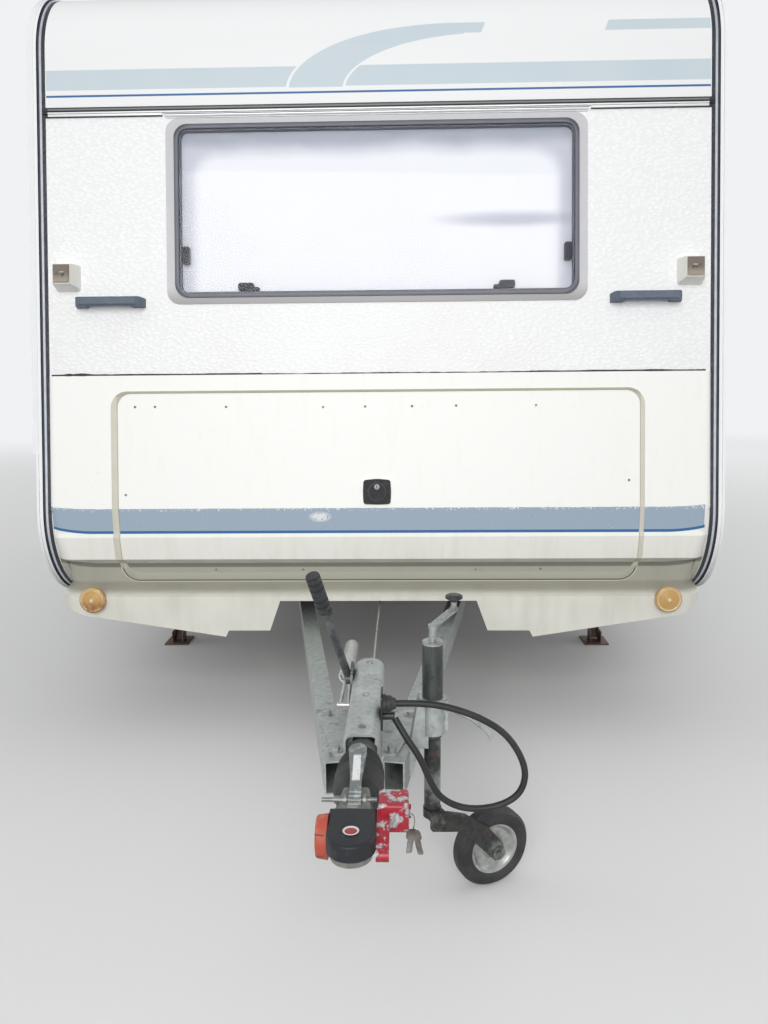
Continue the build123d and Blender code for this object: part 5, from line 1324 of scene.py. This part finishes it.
print("the edging reaches from", EDGING_LEFT, "to", EDGING_RIGHT)

# %% [markdown]
# A flat plane a little larger than the lid becomes that frame: its corners are beveled round, an
# inset makes the ring, and the middle is deleted. Scaling the inner loop widens the sides and the
# foot. Cuts at the moulding's folds let it bend with the panel when it is draped on it. Last it is
# pulled out to its thickness, and the edges in front are beveled as soft as rubber.

# %% Make the edging
EDGING_NARROW = 0.0078
EDGING_INSIDE = 0.8862
EDGING_INSIDE_LOW = 0.5710
EDGING_THICK = 0.003
EDGING_SUNK = 0.0004
MOULD_FOLDS = (0.811, 0.726, 0.712, 0.632, 0.612, 0.575)

bpy.ops.mesh.primitive_plane_add(size=2, rotation=(math.radians(90), 0, 0))
bake(turn=True)
bpy.context.object.scale = (half_long, 1, half_high)
bpy.context.object.location = (edging_x, 0, edging_z)
bake(place=True, size=True)
edit()
choose_all()
bpy.ops.mesh.bevel(offset=EDGING_ROUND, segments=8, affect="VERTICES")
choose_all()
bpy.ops.mesh.inset(thickness=EDGING_NARROW)
inside_high = EDGING_HIGH - EDGING_NARROW
wider = EDGING_INSIDE / (half_long - EDGING_NARROW)
lower = (inside_high - EDGING_INSIDE_LOW) / (inside_high - EDGING_LOW - EDGING_NARROW)
bpy.ops.transform.resize(value=(wider, 1, lower), center_override=(edging_x, 0, inside_high))
shift(-edging_x, 0, 0)
choose_faces(lambda middle, normal: abs(middle.x) < 0.3 and abs(middle.z - edging_z) < 0.2)
bpy.ops.mesh.delete(type="FACE")
for fold_height in MOULD_FOLDS:
    choose_all()
    bpy.ops.mesh.bisect(plane_co=(0, 0, fold_height), plane_no=(0, 0, 1))
choose_all()
pull_out(0, -EDGING_THICK, 0)
choose_edges(lambda middle, run: middle.y < -0.97 * EDGING_THICK)
bpy.ops.mesh.bevel(offset=0.0012, segments=2, affect="EDGES")
leave_edit()
drape(bpy.context.object, ("locker_lid", "locker_shell"), EDGING_SUNK)
complete("lid_edging", edging_rubber, "locker_lid")

# %% [markdown]
# ## Screws
#
# Small pan head screws hold the lid's seal strips. One screw is enough as a pattern: a short
# cylinder whose top is inset and raised twice to a low dome, with its middle sunk for the driver.

# %% Make and set the screws
SCREWS = [
    (-0.826, 1.155), (-0.757, 1.155), (-0.513, 1.153), (-0.182, 1.150), (-0.039, 1.151),
    (0.120, 1.151), (0.269, 1.152), (0.538, 1.151), (-0.574, 0.583), (-0.265, 0.582),
    (0.342, 0.582), (0.568, 0.583), (-0.861, 0.858), (0.850, 0.900),
]
SCREW_STEPS = [(0.0012, 0.0009), (0.0014, 0.0003), (0.0002, -0.0012)]

bpy.ops.mesh.primitive_cylinder_add(vertices=20, radius=0.0042, depth=0.0016)
edit()
choose_faces(lambda middle, normal: normal.z > 0.9)
for border, rise in SCREW_STEPS:
    bpy.ops.mesh.inset(thickness=border)
    shift(0, 0, rise)
leave_edit()
dull_screw = galvanised("dull_screw", (0.16, 0.16, 0.15), (0.30, 0.30, 0.28), 0.45, 0.6)
screw = clean("lid_screw", dull_screw)
places = [facing(*ahead("locker_lid", across, high), across * 9) for across, high in SCREWS]
set_out(screw, places, "locker_lid")

# %% [markdown]
# ## Sealant
#
# Somebody has run black sealant by hand along the moulding's upper edge. It is a ribbon of uneven
# width: hardly there in the middle and smeared out in a few places. A grid gets a height for each
# of its columns from smooth noise and a bulge over its width, and is laid on the wall just above
# the moulding. Each smear is a bell curve with its own place, width and height.

# %% Run the sealant
from mathutils import noise as smooth_noise

SEAL_LEFT = -1.112
SEAL_RIGHT = 1.104
SEAL_Z = 1.2632
SEAL_STEPS = 260
SEAL_PROUD = 0.0075
SEAL_BULGE = 0.0022
SEAL_DEEP = 0.008
THIN_PART = (-0.39, 0.52)
SMEARS = [(-1.054, 0.012, 0.0028), (-1.012, 0.022, 0.0034), (0.93, 0.03, 0.0020)]

sealant = Finish("black_sealant", roughness=0.45)
sealant.colour((0.018, 0.018, 0.019), (sealant.wear(30, 0.4, 0.1) * 0.25, (0.12, 0.12, 0.11)))
sealant.grain(120, 0.0006, 0.6, 3.0)


def sealant_height(across):
    """Half the ribbon's height: thick on the left and right, thin in the middle."""
    height = 0.0013 if THIN_PART[0] <= across <= THIN_PART[1] else 0.0030
    height += smooth_noise.noise((across * 17, 3.1, 0)) * 0.0014
    height += smooth_noise.noise((across * 60, 7.7, 0)) * 0.0009
    for place, width, rise in SMEARS:
        height += rise * math.exp(-((across - place) / width) ** 2)
    return max(0.0007, height)


bpy.ops.mesh.primitive_grid_add(
    x_subdivisions=SEAL_STEPS, y_subdivisions=4, size=2, rotation=(math.radians(90), 0, 0)
)
bake(turn=True)
for vertex in bpy.context.object.data.vertices:
    column, row = vertex.co.x, vertex.co.z
    across = SEAL_LEFT + (SEAL_RIGHT - SEAL_LEFT) * (column + 1) / 2
    sag = smooth_noise.noise((across * 5, 1.3, 0)) * 0.0012
    wall, _ = ahead("front_wall", across * 0.985, SEAL_Z + 0.003)
    depth = wall.y - SEAL_PROUD - SEAL_BULGE * (1 - row * row)
    vertex.co = (across, depth, SEAL_Z + sag + sealant_height(across) * row)
edit()
choose_all()
pull_out(0, SEAL_DEEP, 0)
leave_edit()
complete("moulding_sealant", sealant, smooth=60)

# %% [markdown]
# ## Bolts
#
# The drawbar is bolted together. A bolt's head is a six sided cylinder with its top inset and
# raised, and under it lies a washer with a beveled rim. Both are joined into one pattern that is
# then set on the wing plates, along the housing, and in a circle on each road wheel.

# %% Make a bolt's head
zinc_bolts = galvanised("plated_bolts", (0.30, 0.31, 0.30), (0.55, 0.56, 0.54), 0.4, 0.6)


def bolt_pattern(name, across_flats, high):
    """A hexagon head on a washer, standing on the origin."""
    radius = across_flats / math.sqrt(3)
    bpy.ops.mesh.primitive_cylinder_add(
        vertices=6, radius=radius, depth=high, location=(0, 0, high / 2 + 0.0015)
    )
    edit()
    choose_faces(lambda middle, normal: normal.z > 0.9)
    bpy.ops.mesh.inset(thickness=radius * 0.16)
    shift(0, 0, high * 0.10)
    leave_edit()
    head = bpy.context.object
    bpy.ops.mesh.primitive_cylinder_add(
        vertices=32, radius=across_flats * 0.92, depth=0.002, location=(0, 0, 0.001)
    )
    edit()
    choose_edges(lambda middle, run: middle.z > 0.0019)
    bpy.ops.mesh.bevel(offset=0.0004, segments=2, affect="EDGES")
    leave_edit()
    head.select_set(True)
    bpy.context.view_layer.objects.active = head
    bpy.ops.object.join()
    return clean(name, zinc_bolts)


# %% [markdown]
# On the drawbar a ray from above finds each bolt's place, and a small turn of its own keeps the
# heads from standing all alike. On a wheel the ray comes from the side.

# %% Set the bolts
WING_BOLTS = [(-0.106, -0.775), (0.106, -0.775), (-0.068, -0.968), (0.062, -0.968)]
HOUSING_SCREWS = [(0, -0.700), (0, -0.908), (0, -1.080)]
WHEEL_BOLTS = 5
WHEEL_BOLT_CIRCLE = 0.056

for name, wide, high, spots, twist in (
    ("wing_bolt", 0.019, 0.0085, WING_BOLTS, 7),
    ("housing_screw", 0.010, 0.004, HOUSING_SCREWS, 5),
):
    places = []
    for across, reach in spots:
        place, _ = touch("overrun_housing", (across, FACE_Y + reach, 1.0), (0, 0, -1))
        places.append(facing(place, (0, 0, 1), reach * twist))
    set_out(bolt_pattern(name, wide, high), places)

for side, name in SIDES:
    wheel = "road_wheel_" + name
    places = []
    for number in range(WHEEL_BOLTS):
        turn = math.radians(90 + number * 360 / WHEEL_BOLTS)
        along = AXLE_Y + WHEEL_BOLT_CIRCLE * math.cos(turn)
        high = HUB_Z + WHEEL_BOLT_CIRCLE * math.sin(turn)
        place, _ = touch(wheel, (side * 2, along, high), (-side, 0, 0))
        places.append(facing(place, (side, 0, 0), turn))
    set_out(bolt_pattern(wheel + "_bolt", 0.017, 0.010), places, wheel)

# %% [markdown]
# ## Road tyres
#
# A tyre's rubber is greyed by dust. Sipes, the fine cuts across the ribs of the tread, are too
# small to model and come from a bump that counts the angle, and fine rings run round its wall.

# %% Colour the tyre's rubber
TREAD_START = 0.2885
WALL_END = 0.262
SIPES = 90
SIPE_SLANT = 160
WALL_RINGS = 900

tread_rubber = Finish("tyre_rubber", roughness=0.72)
x, y, z = tread_rubber.axes()
along, up = y - AXLE_Y, z - HUB_Z
angle = tread_rubber.node("Math", {"operation": "ARCTAN2"}, {0: up, 1: along})
radius = (along * along + up * up) ** 0.5
on_tread = radius.above(TREAD_START, 0.001)
sipes = (angle * SIPES + x * SIPE_SLANT).sine().above(0.86, 0.06) * on_tread
wall_rings = (radius * WALL_RINGS).sine() * radius.below(WALL_END, 0.002) * 0.4
tread_rubber.colour(
    (0.022, 0.022, 0.024),
    (on_tread * 0.3, (0.05, 0.049, 0.047)),
    (sipes * 0.8, (0.006, 0.006, 0.006)),
    (tread_rubber.wear(12, 0.45, 0.15) * 0.35, (0.13, 0.12, 0.105)),
)
tread_rubber.bump(wall_rings + (1 - sipes), 0.0012, 0.6)
dress(tread_rubber, "road_tyre_left", "road_tyre_right")

# %% [markdown]
# A tyre is a ring, so it is spun from its section. The section is the same on both sides of its
# middle, so only one half of it is listed, from the bead over the wall to the middle rib, as width
# and radius. It is laid round a circle of points, opened at the bead, and spun about the axle.

# %% Spin the road tyres
BEAD_RADIUS = 0.166
TYRE_STEPS = 96
TYRE_MIDDLE = 1.01
HALF_SECTION = [
    (0.070, BEAD_RADIUS), (0.082, 0.178), (0.0905, 0.200), (0.0925, 0.232), (0.0915, 0.238),
    (0.0920, 0.244), (0.088, 0.268), (0.081, 0.282), (0.072, 0.2905), (0.062, 0.2928),
    (0.0605, 0.2860), (0.0545, 0.2860), (0.053, 0.2940), (0.024, 0.2950), (0.0225, 0.2865),
    (0.0155, 0.2865), (0.014, 0.2950),
]

section = [(-beside, out) for beside, out in HALF_SECTION] + HALF_SECTION[::-1]
for side, name in SIDES:
    middle_x = side * TYRE_MIDDLE
    bpy.ops.mesh.primitive_circle_add(vertices=len(section), radius=0.1, fill_type="NOTHING")
    for vertex, (beside, out) in zip(bpy.context.object.data.vertices, section):
        vertex.co = (middle_x + beside, AXLE_Y, HUB_Z + out)
    edit()
    choose_edges(lambda middle, run: middle.z < HUB_Z + BEAD_RADIUS + 0.0001)
    bpy.ops.mesh.delete(type="EDGE")
    choose_all()
    bpy.ops.mesh.spin(
        steps=TYRE_STEPS, angle=math.radians(360), use_auto_merge=True,
        center=(middle_x, AXLE_Y, HUB_Z), axis=(1, 0, 0),
    )
    leave_edit()
    tyre = complete("tyre_with_tread_" + name, tread_rubber, "road_wheel_" + name)
    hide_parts("road_tyre_" + name)

# %% [markdown]
# ## Keys
#
# Two keys hang from the red lock's barrel on a ring, a torus stretched a little. A key starts as a
# thin box, half as long as the key: its upright edges are beveled round for the bow, its lower end
# is pulled out to the blade, its bow is pierced by a sunk inset, and moved points make the teeth.

# %% Make the keys
KEY_RING = (0.102, -2.8845, 0.470)
KEY_BOW = 0.020
KEY_THICK = 0.0022
BLADE = 0.024
KEY_ROUND = 0.0065
KEY_HOLE_BORDER = 0.0045
TEETH = 1900
TOOTH = 0.0016
KEYS = [
    ("key_one", (0.104, -2.8850, 0.459), 25, 8),
    ("key_two", (0.108, -2.8880, 0.459), -30, -16),
]

key_metal = galvanised("key_metal", (0.085, 0.070, 0.060), (0.30, 0.27, 0.25), 0.35, 0.4)
bpy.ops.mesh.primitive_torus_add(
    major_radius=0.013, minor_radius=0.0009, major_segments=40, minor_segments=8,
    location=KEY_RING, rotation=(math.radians(80), 0, math.radians(62)),
)
edit()
choose_all()
bpy.ops.transform.resize(value=(1, 1, 1.12), center_override=KEY_RING)
leave_edit()
complete("key_ring", key_metal, smooth=60)

for name, place, turn, lean in KEYS:
    bpy.ops.mesh.primitive_cube_add(size=1)
    key = bpy.context.object
    key.scale = (KEY_BOW, KEY_THICK, KEY_BOW)
    bake(size=True)
    edit()
    choose_edges(lambda middle, run: abs(run.y) > 0.9)
    bpy.ops.mesh.bevel(offset=KEY_ROUND, segments=4, affect="EDGES")
    choose_faces(lambda middle, normal: normal.z < -0.9)
    pull_out(0, 0, -BLADE)
    bpy.ops.mesh.inset(thickness=0.0004)
    pull_out(0, 0, -0.002)
    choose_faces(lambda middle, normal: abs(normal.y) > 0.9 and middle.z > -0.006)
    bpy.ops.mesh.inset(thickness=KEY_HOLE_BORDER)
    bpy.ops.transform.resize(value=(1, 0.4, 1), center_override=(0, 0, 0))
    choose_all()
    bpy.ops.mesh.subdivide(number_cuts=1)
    leave_edit()
    for vertex in key.data.vertices:
        if vertex.co.z < -0.014 and vertex.co.x > 0.002:
            vertex.co.x -= TOOTH * (0.5 + 0.5 * math.sin(vertex.co.z * TEETH))
    key.data.transform(Matrix.Translation((0, 0, -0.012)))
    key.rotation_euler = (0, math.radians(lean), math.radians(turn))
    key.location = place
    complete(name, key_metal)
